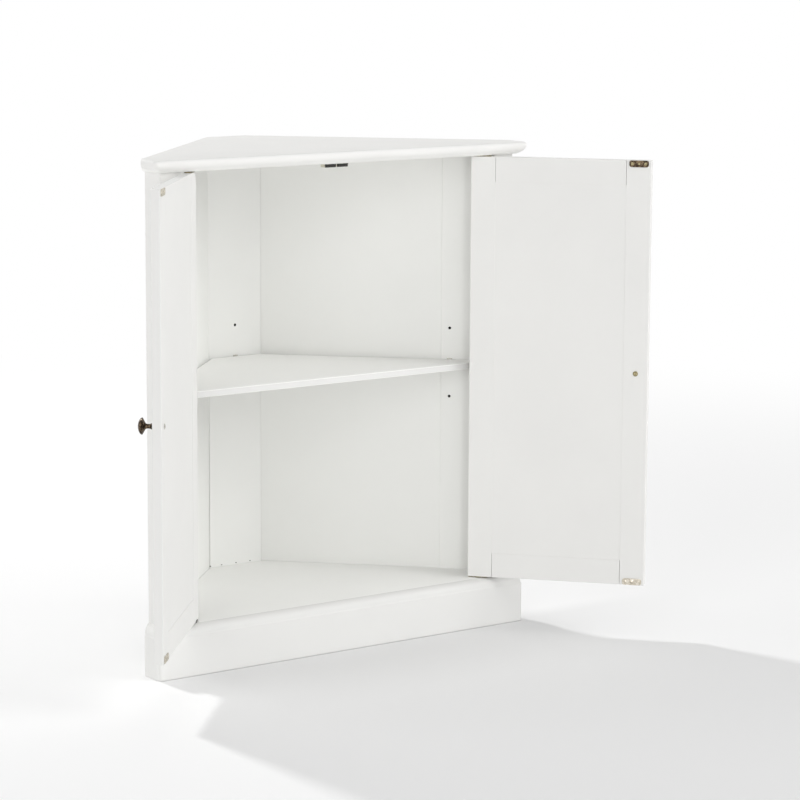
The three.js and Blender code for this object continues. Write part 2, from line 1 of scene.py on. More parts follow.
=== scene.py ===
# %% [markdown]
# # A white corner cupboard with both doors open
# The cupboard stands in the corner of a room, so its back is two boards at 45 degrees and a narrow
# board across the cut-off corner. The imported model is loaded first: it fixes every size and place,
# and it says which body each piece moves with. Lengths here are in metres, as they are in Blender.

import math

import bmesh
import bpy
import numpy as np
from mathutils import Matrix, Vector, geometry


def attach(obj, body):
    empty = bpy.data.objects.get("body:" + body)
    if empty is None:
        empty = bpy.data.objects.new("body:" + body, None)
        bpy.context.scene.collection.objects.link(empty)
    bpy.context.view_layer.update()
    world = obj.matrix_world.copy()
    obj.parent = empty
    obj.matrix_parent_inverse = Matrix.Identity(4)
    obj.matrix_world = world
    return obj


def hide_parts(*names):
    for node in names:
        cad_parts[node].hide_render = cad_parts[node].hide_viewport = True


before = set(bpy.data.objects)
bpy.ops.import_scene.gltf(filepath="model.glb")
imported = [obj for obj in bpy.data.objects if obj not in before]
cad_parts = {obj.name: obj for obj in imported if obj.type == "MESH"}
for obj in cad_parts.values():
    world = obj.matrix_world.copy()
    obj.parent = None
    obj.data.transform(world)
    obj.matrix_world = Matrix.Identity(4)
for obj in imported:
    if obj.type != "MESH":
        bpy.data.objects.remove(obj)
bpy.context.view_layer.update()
scene = bpy.context.scene

# %% [markdown]
# ## Camera
# The photograph is taken from the front left, a little above the top, with a long lens: the upright
# lines stay almost parallel. The place, the three turns and the lens come from fitting the corners of
# the model to the corners in the picture, and the view isn't shifted.

# %% Camera
CAMERA_PLACE = (-2.9600, -4.2463, 1.3052)
CAMERA_YAW, CAMERA_PITCH, CAMERA_ROLL = 0.62705, 0.16367, -0.0053
LENS, SENSOR = 134.06, 36.0


def camera_axes(yaw, pitch, roll):
    """Rows right, up and back. The look is (sin yaw cos pitch, cos yaw cos pitch, -sin pitch), right is
    level, and both right and down turn by the roll about the look."""
    look = np.array([math.sin(yaw) * math.cos(pitch), math.cos(yaw) * math.cos(pitch), -math.sin(pitch)])
    right = np.array([math.cos(yaw), -math.sin(yaw), 0.0])
    down = np.cross(look, right)
    turned_right = right * math.cos(roll) + down * math.sin(roll)
    turned_down = down * math.cos(roll) - right * math.sin(roll)
    return np.array([turned_right, -turned_down, -look])


camera_data = bpy.data.cameras.new("camera")
camera_data.lens = LENS
camera_data.sensor_width = SENSOR
camera_data.clip_end = 100.0
camera = bpy.data.objects.new("camera", camera_data)
scene.collection.objects.link(camera)
turn = Matrix(camera_axes(CAMERA_YAW, CAMERA_PITCH, CAMERA_ROLL).T.tolist())
camera.matrix_world = Matrix.Translation(CAMERA_PLACE) @ turn.to_4x4()
scene.camera = camera
scene.view_settings.view_transform = "Standard"
print("camera at", CAMERA_PLACE, "with a lens of", LENS, "mm")

# %% [markdown]
# ## Finishes
# Every finish is built from nodes that read Object coordinates, so a pattern keeps its real size in
# metres and stays on its piece. Two small helpers make the noise and rescale it, because nearly every
# finish uses them.

# %% Helpers for finishes
def start_finish(name):
    """A new material with its nodes, its links, its main shader and the piece's own coordinates."""
    material = bpy.data.materials.new(name)
    material.use_nodes = True
    tree = material.node_tree
    shader = tree.nodes["Principled BSDF"]
    coordinates = tree.nodes.new("ShaderNodeTexCoord").outputs["Object"]
    return material, tree, shader, coordinates


def add_noise(tree, coordinates, per_metre, detail=2.0, rough=0.5):
    """Noise whose patches are about one over per_metre wide."""
    noise = tree.nodes.new("ShaderNodeTexNoise")
    noise.inputs["Scale"].default_value = per_metre
    noise.inputs["Detail"].default_value = detail
    noise.inputs["Roughness"].default_value = rough
    tree.links.new(coordinates, noise.inputs["Vector"])
    return noise.outputs["Fac"]


def rescale(tree, value, low, high, start=0.3, end=0.7):
    """Maps start to end onto low to high, smoothly and without running past either."""
    scale = tree.nodes.new("ShaderNodeMapRange")
    scale.interpolation_type = "SMOOTHSTEP"
    for socket, number in (("From Min", start), ("From Max", end), ("To Min", low), ("To Max", high)):
        scale.inputs[socket].default_value = number
    tree.links.new(value, scale.inputs["Value"])
    return scale.outputs["Result"]


def blend_colours(tree, factor, first, second):
    """Goes from the first colour to the second as the factor goes from 0 to 1."""
    mix = tree.nodes.new("ShaderNodeMix")
    mix.data_type = "RGBA"
    tree.links.new(factor, mix.inputs["Factor"])
    for socket, colour in ((mix.inputs[6], first), (mix.inputs[7], second)):
        if isinstance(colour, tuple):
            socket.default_value = (*colour, 1.0)
        else:
            tree.links.new(colour, socket)
    return mix.outputs[2]


def add_math(tree, operation, first, second=0.0):
    """One step of arithmetic on two values, each a number or another node's output."""
    step = tree.nodes.new("ShaderNodeMath")
    step.operation = operation
    for socket, value in zip(step.inputs, (first, second)):
        if isinstance(value, float):
            socket.default_value = value
        else:
            tree.links.new(value, socket)
    return step.outputs[0]


def add_bump(tree, shader, layers):
    """Lays bumps over one another, each given as a height from 0 to 1 and its depth in metres."""
    normal = None
    for height, depth in layers:
        bump = tree.nodes.new("ShaderNodeBump")
        bump.inputs["Strength"].default_value = 1.0
        bump.inputs["Distance"].default_value = depth
        tree.links.new(height, bump.inputs["Height"])
        if normal is not None:
            tree.links.new(normal, bump.inputs["Normal"])
        normal = bump.outputs["Normal"]
    tree.links.new(normal, shader.inputs["Normal"])


print("finish helpers ready")

# %% [markdown]
# ### Paint
# The boards are spray-painted in a satin white. Sprayed paint isn't perfectly flat: it has a fine
# orange-peel texture a few millimetres across, slow waves from the board under it, and a sheen that
# is a little duller where the coat is thin. The inside gets the same paint, laid on thinner, so its
# texture is finer and its sheen lower, and a whiter colour that is painted light. Painted light and
# shade change some colours further: the shelf and the floor are whiter still, the shelf's front edge
# and the plinth darker, the faces that turn to the walls darker, the left door's meeting edge darker
# than its faces, and the underside of the top whiter.

# %% Paint
PAINT_SPECULAR = 0.02
CLOUDS, SPECKS, WAVES = 5.0, 160.0, 18.0
WAVE_DEPTH = 0.00025
FACING_FROM, FACING_TO = 0.4, 0.6
# The ways faces turn where a colour is painted light or shade: the open left door's meeting edge and the
# faces towards the walls take painted shade, the top's underside painted light.
MEETING_EDGE, TO_THE_WALL, NEARLY_DOWN = (-0.669, -0.743, 0.0), (0.0, 1.0, 0.0), (0.0, 0.0, -0.65)


def make_paint(name, colour, thin_colour, sheen, dull, peel_per_metre, peel_depth, facing_light_and_shade=None):
    """Satin paint: the colour drifts to the thin-coat colour and the roughness from sheen to dull, in
    patches of so many per metre. facing_light_and_shade is a vector and another colour, a lighter one
    for painted light or a darker one for painted shade, for the faces whose own normal . vector
    passes from FACING_FROM to FACING_TO: a shorter vector leaves only the faces that turn nearer to
    its direction."""
    material, tree, shader, coordinates = start_finish(name)
    shader.inputs["Specular IOR Level"].default_value = PAINT_SPECULAR
    cloud = add_noise(tree, coordinates, CLOUDS, 3.0, 0.55)
    speck = add_noise(tree, coordinates, SPECKS, 2.0, 0.6)
    coat = blend_colours(tree, rescale(tree, cloud, 0.0, 1.0), colour, thin_colour)
    if facing_light_and_shade:
        facing = tree.nodes.new("ShaderNodeVectorMath")
        facing.operation = "DOT_PRODUCT"
        tree.links.new(coordinates.node.outputs["Normal"], facing.inputs[0])
        facing.inputs[1].default_value = facing_light_and_shade[0]
        share = rescale(tree, facing.outputs["Value"], 0.0, 1.0, FACING_FROM, FACING_TO)
        coat = blend_colours(tree, share, coat, facing_light_and_shade[1])
    tree.links.new(coat, shader.inputs["Base Color"])
    tree.links.new(rescale(tree, speck, sheen, dull), shader.inputs["Roughness"])
    peel = add_noise(tree, coordinates, peel_per_metre, 2.0, 0.5)
    wave = add_noise(tree, coordinates, WAVES, 1.0, 0.4)
    add_bump(tree, shader, ((wave, WAVE_DEPTH), (peel, peel_depth)))
    return material


WHITE, WHITE_THIN = (0.850, 0.846, 0.828), (0.832, 0.828, 0.811)
SATIN_COAT, THIN_COAT = (0.42, 0.54, 420.0, 0.00003), (0.46, 0.58, 620.0, 0.000025)
INSIDE_COAT = (0.50, 0.62, 620.0, 0.000025)
outside_paint = make_paint("satin_white_outside", WHITE, WHITE_THIN, *SATIN_COAT)
# Painted shade: the open left door's meeting edge face is darker than the door's other faces.
meeting_paint = make_paint("satin_white_meeting", WHITE, WHITE_THIN, *SATIN_COAT,
                           (MEETING_EDGE, (0.775, 0.772, 0.757)))
# Painted light: the faces that turn down, under the top and its nosing, are whiter.
top_paint = make_paint("satin_white_top", WHITE, WHITE_THIN, *SATIN_COAT,
                       (NEARLY_DOWN, (0.960, 0.957, 0.938)))
# Painted light: the inside's white is lighter than the outside's. Painted shade: the faces that turn to the
# walls are darker.
inside_paint = make_paint("satin_white_inside", (0.902, 0.904, 0.881), (0.887, 0.889, 0.866),
                          *INSIDE_COAT, (TO_THE_WALL, (0.765, 0.763, 0.747)))
# Painted light: the shelf and the floor panel are whiter than the walls inside.
shelf_and_floor_painted_light = make_paint("satin_white_shelves", (0.965, 0.965, 0.945), (0.952, 0.952, 0.932), *THIN_COAT)
# Painted shade: a darker white for the plinth and the shelf's front band.
painted_shade_white = make_paint("satin_white_painted_shade", (0.800, 0.798, 0.782), (0.786, 0.784, 0.768), *THIN_COAT)
print("paints:", [material.name for material in bpy.data.materials])

# %% [markdown]
# ### Metals and plastic
# The knobs and the strike plates are steel with an antique bronze plating: dark brown in the hollows
# and rubbed to a warmer tone in patches. Three of the four strike plates take a paler copy of the
# bronze, which is painted reflection. The shelf supports are bright plated steel, the pivots, the
# bushes and most screws are aged brass, and the catch has a cream moulding with dark magnets. Each
# metal has two noises: a coarse one lets the light tone through in patches, and a fine one gives the
# grain.

# %% Metals and plastic
METAL_GRAIN, PLASTIC_SPECK, PLASTIC_GRAIN, PLASTIC_DEPTH = 2500.0, 300.0, 1800.0, 0.00001


def make_metal(name, dark, light, smooth, worn, patch_per_metre, grain_depth):
    """Plated metal: patches of the light tone show through the dark one and are a little smoother."""
    material, tree, shader, coordinates = start_finish(name)
    shader.inputs["Metallic"].default_value = 1.0
    patch = add_noise(tree, coordinates, patch_per_metre, 3.0, 0.6)
    rubbed = rescale(tree, patch, 0.0, 1.0, 0.42, 0.66)
    tree.links.new(blend_colours(tree, rubbed, dark, light), shader.inputs["Base Color"])
    tree.links.new(rescale(tree, patch, worn, smooth), shader.inputs["Roughness"])
    grain = add_noise(tree, coordinates, METAL_GRAIN, 2.0, 0.6)
    add_bump(tree, shader, ((grain, grain_depth),))
    return material


antique_bronze = make_metal("antique_bronze", (0.042, 0.029, 0.020), (0.165, 0.122, 0.078),
                            0.30, 0.46, 260.0, 0.00001)
# A paler copy of the bronze, painted reflection, for three of the strike plates and their screws.
painted_reflection_bronze = make_metal("bronze_with_painted_reflection", (0.545, 0.50, 0.415), (0.82, 0.77, 0.68),
                         0.34, 0.48, 260.0, 0.00001)
plated_steel = make_metal("plated_steel", (0.50, 0.48, 0.44), (0.66, 0.64, 0.60),
                          0.22, 0.34, 120.0, 0.000006)
aged_brass = make_metal("aged_brass", (0.24, 0.205, 0.110), (0.46, 0.405, 0.25),
                        0.28, 0.44, 320.0, 0.00001)
magnet_steel = make_metal("magnet_steel", (0.15, 0.16, 0.14), (0.32, 0.34, 0.30),
                          0.32, 0.48, 200.0, 0.00001)


def make_moulding(name, colour, deep_colour, sheen, dull):
    """Moulded plastic or pressed ferrite: an even colour with a fine grain."""
    material, tree, shader, coordinates = start_finish(name)
    speck = add_noise(tree, coordinates, PLASTIC_SPECK, 2.0, 0.5)
    drift = rescale(tree, speck, 0.0, 1.0)
    tree.links.new(blend_colours(tree, drift, colour, deep_colour), shader.inputs["Base Color"])
    tree.links.new(rescale(tree, speck, sheen, dull), shader.inputs["Roughness"])
    grain = add_noise(tree, coordinates, PLASTIC_GRAIN, 2.0, 0.6)
    add_bump(tree, shader, ((grain, PLASTIC_DEPTH),))
    return material


cream_plastic = make_moulding("cream_plastic", (0.72, 0.69, 0.58), (0.68, 0.65, 0.54), 0.38, 0.52)
# The same black also serves as painted shade at the left door's lower pivot.
black_ferrite_and_shade = make_moulding("black_ferrite_and_shade", (0.018, 0.017, 0.016), (0.028, 0.026, 0.024), 0.50, 0.66)
# Near-black painted shade for the insides of the open holes.
painted_hole_shade = make_moulding("painted_hole_shade", (0.016, 0.013, 0.011), (0.026, 0.021, 0.017), 0.80, 0.95)
print("finishes:", len(bpy.data.materials))

# %% [markdown]
# ## Room and light
# The floor is pale and plain. Near the cupboard it is lit like everything else, so it carries the
# shadow; further away it turns into plain white for the camera, which is how the photograph's
# background looks. A single grey would show a horizon. The finish also darkens the floor a little in
# front of the plinth and draws the thin contact line at its foot.

# %% Floor
FLOOR_HALF = 9.0
WHITE_FROM, WHITE_TO = 1.1, 3.6
NEAR_LIFT, REAR_WHITE = 0.03, 0.65
SLANT, SLANT_FADE = 0.6, (0.1, 0.9)
# FOOT_SHADE and CONTACT_SHADE are painted shade: a darker floor in front of the plinth and a contact shadow
# line along its foot.
FLOOR_WHITE, FOOT_SHADE, CONTACT_SHADE = 0.93, 0.13, 0.22
FOOT_LINE = 0.0095
IN_FRONT, BEHIND = (-0.32, 0.0), (0.0, 0.07)
LEFT_END, RIGHT_END = (-0.39, -0.27), (0.36, 0.80)
LINE_WIDTH, LINE_END = (0.0010, 0.0050), (0.385, 0.395)


def seen_rays(tree):
    """1 for camera, glossy and transmission rays, otherwise 0: the largest of the three answers."""
    path = tree.nodes.new("ShaderNodeLightPath").outputs
    seen = add_math(tree, "MAXIMUM", path["Is Camera Ray"], path["Is Glossy Ray"])
    return add_math(tree, "MAXIMUM", seen, path["Is Transmission Ray"])


def make_floor_finish():
    """Lit floor mixed with plain white for camera, glossy and transmission rays. The share of white
    grows from NEAR_LIFT to 1 with the distance from the cupboard. The lit floor is FLOOR_WHITE times
    (1 - FOOT_SHADE foot - CONTACT_SHADE line): foot fades in front of the plinth's foot line and
    beyond the plinth's ends, and line is thin, along the foot. Behind and to the left, where no
    shadow falls, the white starts nearer, with y - SLANT x."""
    material, tree, shader, coordinates = start_finish("pale_floor")
    parts = tree.nodes.new("ShaderNodeSeparateXYZ")
    tree.links.new(coordinates, parts.inputs[0])
    along, behind = parts.outputs["X"], add_math(tree, "ADD", parts.outputs["Y"], FOOT_LINE)
    foot = add_math(tree, "MULTIPLY", rescale(tree, behind, 0.0, 1.0, *IN_FRONT),
                    rescale(tree, behind, 1.0, 0.0, *BEHIND))
    foot = add_math(tree, "MULTIPLY", foot, rescale(tree, along, 0.0, 1.0, *LEFT_END))
    foot = add_math(tree, "MULTIPLY", foot, rescale(tree, along, 1.0, 0.0, *RIGHT_END))
    from_line, from_middle = add_math(tree, "ABSOLUTE", behind), add_math(tree, "ABSOLUTE", along)
    line = add_math(tree, "MULTIPLY", rescale(tree, from_line, 1.0, 0.0, *LINE_WIDTH),
                    rescale(tree, from_middle, 1.0, 0.0, *LINE_END))
    # Painted shade: the floor darkens in front of the plinth and along its foot.
    shade = add_math(tree, "ADD", add_math(tree, "MULTIPLY", foot, FOOT_SHADE),
                     add_math(tree, "MULTIPLY", line, CONTACT_SHADE))
    colour = blend_colours(tree, shade, (FLOOR_WHITE,) * 3, (0.0, 0.0, 0.0))
    tree.links.new(colour, shader.inputs["Base Color"])
    shader.inputs["Roughness"].default_value = 0.9
    shader.inputs["Specular IOR Level"].default_value = 0.1
    distance = tree.nodes.new("ShaderNodeVectorMath")
    distance.operation = "LENGTH"
    tree.links.new(coordinates, distance.inputs[0])
    share = rescale(tree, distance.outputs["Value"], NEAR_LIFT, 1.0, WHITE_FROM, WHITE_TO)
    slant = add_math(tree, "SUBTRACT", parts.outputs["Y"], add_math(tree, "MULTIPLY", along, SLANT))
    share = add_math(tree, "MAXIMUM", share, rescale(tree, slant, 0.0, REAR_WHITE, *SLANT_FADE))
    white = tree.nodes.new("ShaderNodeEmission")
    mix = tree.nodes.new("ShaderNodeMixShader")
    tree.links.new(add_math(tree, "MULTIPLY", share, seen_rays(tree)), mix.inputs[0])
    tree.links.new(shader.outputs[0], mix.inputs[1])
    tree.links.new(white.outputs[0], mix.inputs[2])
    tree.links.new(mix.outputs[0], tree.nodes["Material Output"].inputs["Surface"])
    return material


floor_mesh = bpy.data.meshes.new("floor")
corners = FLOOR_HALF * np.array([[-1, -1, 0], [1, -1, 0], [1, 1, 0], [-1, 1, 0]], float)
floor_mesh.from_pydata(corners.tolist(), [], [[0, 1, 2, 3]])
floor = bpy.data.objects.new("floor", floor_mesh)
floor_mesh.materials.append(make_floor_finish())
scene.collection.objects.link(floor)
print("floor", 2 * FLOOR_HALF, "m wide")

# %% [markdown]
# ### Lamps
# The soft shadow towards the camera says that one small lamp stands behind the cupboard and high up.
# A larger one at the back left brightens the side that faces left. Three in front light the doors and
# the inside almost evenly: a small one near the floor reaches under the top's nosing, a wide one stands
# at the right, and another at the left reaches behind the right door's edge. The world adds an even
# light, and shows plain white to the camera.

# %% World
AMBIENT, BACKDROP = 0.4725, 1.0

world = bpy.data.worlds.new("studio")
world.use_nodes = True
scene.world = world
sky = world.node_tree
split = sky.nodes.new("ShaderNodeMixShader")
sky.links.new(seen_rays(sky), split.inputs[0])
for socket, background, strength in ((split.inputs[1], sky.nodes["Background"], AMBIENT),
                                     (split.inputs[2], sky.nodes.new("ShaderNodeBackground"), BACKDROP)):
    background.inputs["Color"].default_value = (1.0, 1.0, 1.0, 1.0)
    background.inputs["Strength"].default_value = strength
    sky.links.new(background.outputs[0], socket)
sky.links.new(split.outputs[0], sky.nodes["World Output"].inputs["Surface"])
print("world: light", AMBIENT, "and backdrop", BACKDROP)

# %% Lamps
def add_lamp(name, place, target, size, watts):
    """A square soft lamp that looks from its place to its target and that no view shows."""
    data = bpy.data.lights.new(name, "AREA")
    data.shape = "SQUARE"
    data.size = size
    data.energy = watts
    lamp = bpy.data.objects.new(name, data)
    lamp.location = place
    lamp.rotation_euler = (Vector(target) - Vector(place)).to_track_quat("-Z", "Y").to_euler()
    lamp.visible_camera = False
    scene.collection.objects.link(lamp)


add_lamp("back_key", (-0.6, 4.2, 3.2), (0.0, 0.0, 0.3), 0.45, 120.0)
add_lamp("left_back", (-5.0, 3.4, 2.0), (0.0, 0.1, 0.4), 2.6, 40.0)
add_lamp("front_floor", (-2.6, -5.6, 0.45), (0.0, 0.1, 0.6), 0.8, 45.0)
add_lamp("left_fill", (-5.2, -3.4, 2.2), (0.1, 0.2, 0.45), 2.5, 74.0)
add_lamp("right_softbox", (3.6, -4.6, 3.4), (0.0, 0.1, 0.5), 3.6, 167.0)

# %% [markdown]
# ## Boards that stay as the solids are
# The thin backs and the rail under the floor are flat boards with square edges. They only need paint.

# %% Paint the flat boards
def paint_node(name, material):
    """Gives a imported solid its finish."""
    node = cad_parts[name]
    if node.material_slots:
        node.material_slots[0].material = material
    else:
        node.data.materials.append(material)


FLAT_BOARDS = ("left_back_panel", "right_back_panel", "bottom_rail")
for name in FLAT_BOARDS:
    paint_node(name, inside_paint)
print("painted", len(FLAT_BOARDS), "flat boards")

# %% [markdown]
# ## From grids of points to pieces
# A board is a ring of points carried from one end to the other, and a turned knob is a profile
# carried round an axis. Both are grids: levels one way, places round a loop the other way. Real boards
# never have perfectly sharp arrises, and the narrow bright or dark line along an edge is what makes a
# painted board look real, so every board here is made with eased edges instead of being a plain box.

# %% Skins and pieces
WELD = 0.000002


def skin(rings, capped=True):
    """Rings has levels x places x 3 numbers. Cell (i, j) is the quad (i, j), (i, j+1), (i+1, j+1),
    (i+1, j), where j+1 runs back to 0 at the end, and the first and last ring may be closed."""
    levels, places = rings.shape[:2]
    number = np.arange(levels * places).reshape(levels, places)
    after = np.roll(number, -1, axis=1)
    faces = np.stack([number[:-1], after[:-1], after[1:], number[1:]], axis=-1).reshape(-1, 4).tolist()
    if capped:
        faces += [number[0, ::-1].tolist(), number[-1].tolist()]
    return rings.reshape(-1, 3), faces


def join_skins(*skins):
    """Several skins as one, with each face's numbers moved on by the points before it."""
    points, faces, count = [], [], 0
    for more_points, more_faces in skins:
        points.append(more_points)
        faces += [[count + number for number in face] for face in more_faces]
        count += len(more_points)
    return np.concatenate(points), faces


def make_piece(name, skins, material, body, stands_for=(), crisp=32.0):
    """One object from closed skins. In each skin, points within WELD of one another are joined and
    the faces are turned outwards. Edges sharper than crisp degrees stay crisp, and the large faces
    keep flat light because each normal is weighted by the areas round it."""
    whole = bmesh.new()
    for points, faces in skins:
        mesh = bpy.data.meshes.new(name)
        mesh.from_pydata(points.tolist(), [], faces)
        part = bmesh.new()
        part.from_mesh(mesh)
        bmesh.ops.remove_doubles(part, verts=part.verts, dist=WELD)
        bmesh.ops.recalc_face_normals(part, faces=part.faces)
        part.to_mesh(mesh)
        part.free()
        whole.from_mesh(mesh)
        bpy.data.meshes.remove(mesh)
    mesh = bpy.data.meshes.new(name)
    whole.to_mesh(mesh)
    whole.free()
    mesh.shade_smooth()
    mesh.set_sharp_from_angle(angle=math.radians(crisp))
    mesh.materials.append(material)
    piece = bpy.data.objects.new(name, mesh)
    scene.collection.objects.link(piece)
    even = piece.modifiers.new("even_light", "WEIGHTED_NORMAL")
    even.keep_sharp = True
    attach(piece, body)
    if stands_for:
        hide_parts(*stands_for)
    print(name, len(mesh.vertices), "points")


# %% [markdown]
# ### Eased boards
# The eased edge is worked out rather than left to a Bevel modifier, so that only the long arrises and
# the ends are eased and the joints between boards stay tight. At each corner of the outline a fan of
# directions swings round from one side to the next, and every ring of the board follows it.

# %% Eased boards
def corner_fans(outline, steps):
    """For a closed outline that runs anticlockwise: at each outside corner, steps + 1 unit vectors
    that swing from one side's outward normal to the next side's; at an inside corner the mitre,
    (n1 + n2) / (1 + n1 . n2), that many times. The mitres of all corners come second."""
    run = np.roll(outline, -1, axis=0) - outline
    run = run / np.linalg.norm(run, axis=1, keepdims=True)
    leaving = np.stack([run[:, 1], -run[:, 0]], axis=1)
    arriving = np.roll(leaving, 1, axis=0)
    cross = arriving[:, 0] * leaving[:, 1] - arriving[:, 1] * leaving[:, 0]
    dot = (arriving * leaving).sum(axis=1)
    swing = np.arctan2(cross, dot)[:, None] * np.linspace(0.0, 1.0, steps + 1)
    east, north = arriving[:, :1], arriving[:, 1:]
    fans = np.stack([east * np.cos(swing) - north * np.sin(swing),
                     east * np.sin(swing) + north * np.cos(swing)], axis=-1)
    mitres = (arriving + leaving) / (1.0 + dot)[:, None]
    return np.where((cross < 0)[:, None, None], mitres[:, None], fans), mitres


def round_corners(outline, radii, steps=4):
    """Each corner with a radius becomes an arc about the corner moved in by the radius times its
    mitre, and the others stay as they are."""
    outline, radii = np.asarray(outline, float), np.asarray(radii, float)
    fans, mitres = corner_fans(outline, steps)
    arcs = (outline - radii[:, None] * mitres)[:, None] + radii[:, None, None] * fans
    return arcs[(radii[:, None] > 0) | (np.arange(steps + 1) == 0)]


def lay(points, axis):
    """Turns points that were drawn about z so that z runs along x or y, by passing the axes round."""
    return points[..., {"x": [2, 0, 1], "y": [1, 2, 0], "z": [0, 1, 2]}[axis]]


def eased_board(outline, low, high, ease, axis="z", steps=3):
    """A board from low to high along the axis. Its core is the outline moved in by ease times the
    mitres. At the angle a from an end, the ring is the core plus ease sin a times the corner fans,
    and it lies ease (1 - cos a) from that end."""
    outline = np.asarray(outline, float)
    fans, mitres = corner_fans(outline, steps)
    angle = np.linspace(0.0, math.pi / 2, steps + 1)
    reach = ease * np.sin(angle)
    depth = ease * (1.0 - np.cos(angle))
    reaches = np.concatenate([reach, reach[::-1]])
    heights = np.concatenate([low + depth, (high - depth)[::-1]])
    flat = (outline - ease * mitres)[None, :, None] + reaches[:, None, None, None] * fans[None]
    level = np.broadcast_to(heights[:, None, None, None], flat.shape[:3] + (1,))
    return lay(np.concatenate([flat, level], axis=-1).reshape(len(reaches), -1, 3), axis)


def rectangle(low, high):
    """The four corners of a rectangle, anticlockwise."""
    return [(low[0], low[1]), (high[0], low[1]), (high[0], high[1]), (low[0], high[1])]


print("board helpers ready")

# %% [markdown]
# ## The carcase
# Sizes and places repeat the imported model's. The doors' outer face lies 10 mm behind y = 0, because
# the plinth stands out by 20 mm and the frame's origin is under the middle of the front plinth board.
# On a wall, |x| + y is the same everywhere, so one number places both walls.

# %% Front posts
FRONT = 0.010
HALF = 0.374
BOARD, STILE_WIDE = 0.016, 0.042
WALL_REACH = 0.421
TOP_LOW, TOP_HIGH = 0.867, 0.889
EASE, STILE_ROUND = 0.0004, 0.003
SIDES = {"left": -1, "right": 1}


def stand(side, points):
    """From the right half, measured from the doors' outer face, to its place on either side."""
    return points * np.array([side, 1.0, 1.0]) + np.array([0.0, FRONT, 0.0])


for word, side in SIDES.items():
    stile = round_corners(rectangle((HALF - STILE_WIDE, 0.0), (HALF, BOARD)), (0, STILE_ROUND, 0, 0))
    short_board = [(HALF - BOARD, BOARD), (HALF, BOARD), (HALF, WALL_REACH - HALF),
                   (HALF - BOARD, WALL_REACH - HALF + BOARD)]
    for part, outline in (("stile", stile), ("return", short_board)):
        rings = stand(side, eased_board(outline, 0.0, TOP_LOW, EASE))
        make_piece(f"fine_{word}_{part}", [skin(rings)], outside_paint, "carcase", [f"{word}_{part}"])

# %% [markdown]
# ### Top
# The top's nosing is one moulding that runs round the front and both short sides. It is lofted: the
# outline is drawn at each height of the moulding's profile, further out where the moulding stands
# out. Its underside has two round wells for the bushes, so a flat face with holes closes it there.

# %% Top with its nosing
OVERHANG, NOSING_FOOT, NOSING_ROUND = 0.020, 0.006, 0.005
CORNER = 0.008
BACK_CORNER = (0.041, 0.380)
PIVOT_X, PIVOT_Y = 0.3105, 0.008
BUSH_WELL, BUSH_DEPTH = 0.0053, 0.0113


def bezier(points, steps):
    """A curve through the first and last point, pulled by those between: the sum of each point times
    its binomial share, C(n, k) t^k (1 - t)^(n - k)."""
    points = np.asarray(points, float)
    order = len(points) - 1
    t = np.linspace(0.0, 1.0, steps + 1)[:, None]
    shares = [math.comb(order, k) * t ** k * (1.0 - t) ** (order - k) for k in range(order + 1)]
    return sum(share * point for share, point in zip(shares, points))


def top_outline(offset):
    """The top's outline where it stands out by offset: front, short sides, walls and back corner."""
    half = HALF + offset
    corners = [(-half, WALL_REACH - half), (-half, -offset), (half, -offset),
               (half, WALL_REACH - half), BACK_CORNER, (-BACK_CORNER[0], BACK_CORNER[1])]
    return round_corners(corners, (0, CORNER, CORNER, 0, 0, 0), 8)


def circle(centre, radius, count=32):
    """Points round a circle, anticlockwise."""
    angle = np.linspace(0.0, 2 * math.pi, count, endpoint=False)[:, None]
    return np.asarray(centre, float) + radius * np.concatenate([np.cos(angle), np.sin(angle)], axis=1)


def at_height(outline, height):
    """A flat outline as a ring of points: each (x, y) gets the same z."""
    return np.column_stack([outline, np.full(len(outline), height)])


def holed_face(outline, holes):
    """A flat face between an outline and the holes in it, as triangles."""
    loops = [np.asarray(outline), *holes]
    triangles = geometry.tessellate_polygon([[Vector(point) for point in loop] for loop in loops])
    return np.concatenate(loops), [list(triangle) for triangle in triangles]


def well(mouth, depth):
    """The wall and the far end of a blind hole, from the loop at its mouth along a vector."""
    walls, faces = skin(np.stack([mouth, mouth + np.asarray(depth)]))
    del faces[-2]
    return walls, faces


sweep = bezier([(NOSING_FOOT, TOP_LOW), (OVERHANG, TOP_LOW + NOSING_FOOT),
                (OVERHANG, TOP_HIGH - NOSING_ROUND)], 14)
turn_over = np.linspace(0.0, math.pi / 2, 8)[1:]
rounding = np.column_stack([OVERHANG - NOSING_ROUND + NOSING_ROUND * np.cos(turn_over),
                            TOP_HIGH - NOSING_ROUND + NOSING_ROUND * np.sin(turn_over)])
nosing = np.concatenate([sweep, rounding])
rings = np.stack([at_height(top_outline(offset), height) for offset, height in nosing])
sides_of_top, faces = skin(rings)
del faces[-2]
mouths = [at_height(circle((side * PIVOT_X, PIVOT_Y), BUSH_WELL), TOP_LOW) for side in SIDES.values()]
underside = holed_face(at_height(top_outline(nosing[0, 0]), TOP_LOW), mouths)
wells = [well(mouth, (0.0, 0.0, BUSH_DEPTH)) for mouth in mouths]
top_points, top_faces = join_skins((sides_of_top, faces), underside, *wells)
# The top's finish carries painted light: its downward faces are whiter.
make_piece("fine_top_panel", [(stand(1, top_points), top_faces)], top_paint, "carcase",
           ["top_panel"])

# %% [markdown]
# ### Plinth
# The plinth is a skirting board with a quarter-round moulding on its upper edge. The front board and
# the two short side boards meet in mitres, and a hairline of a joint stays between them.

# %% Plinth boards
PLINTH_HIGH, PLINTH_MOULDING = 0.088, 0.016
FOOT_ROUND, FILLET = 0.0018, 0.0015
MITRE_GAP = 0.00021

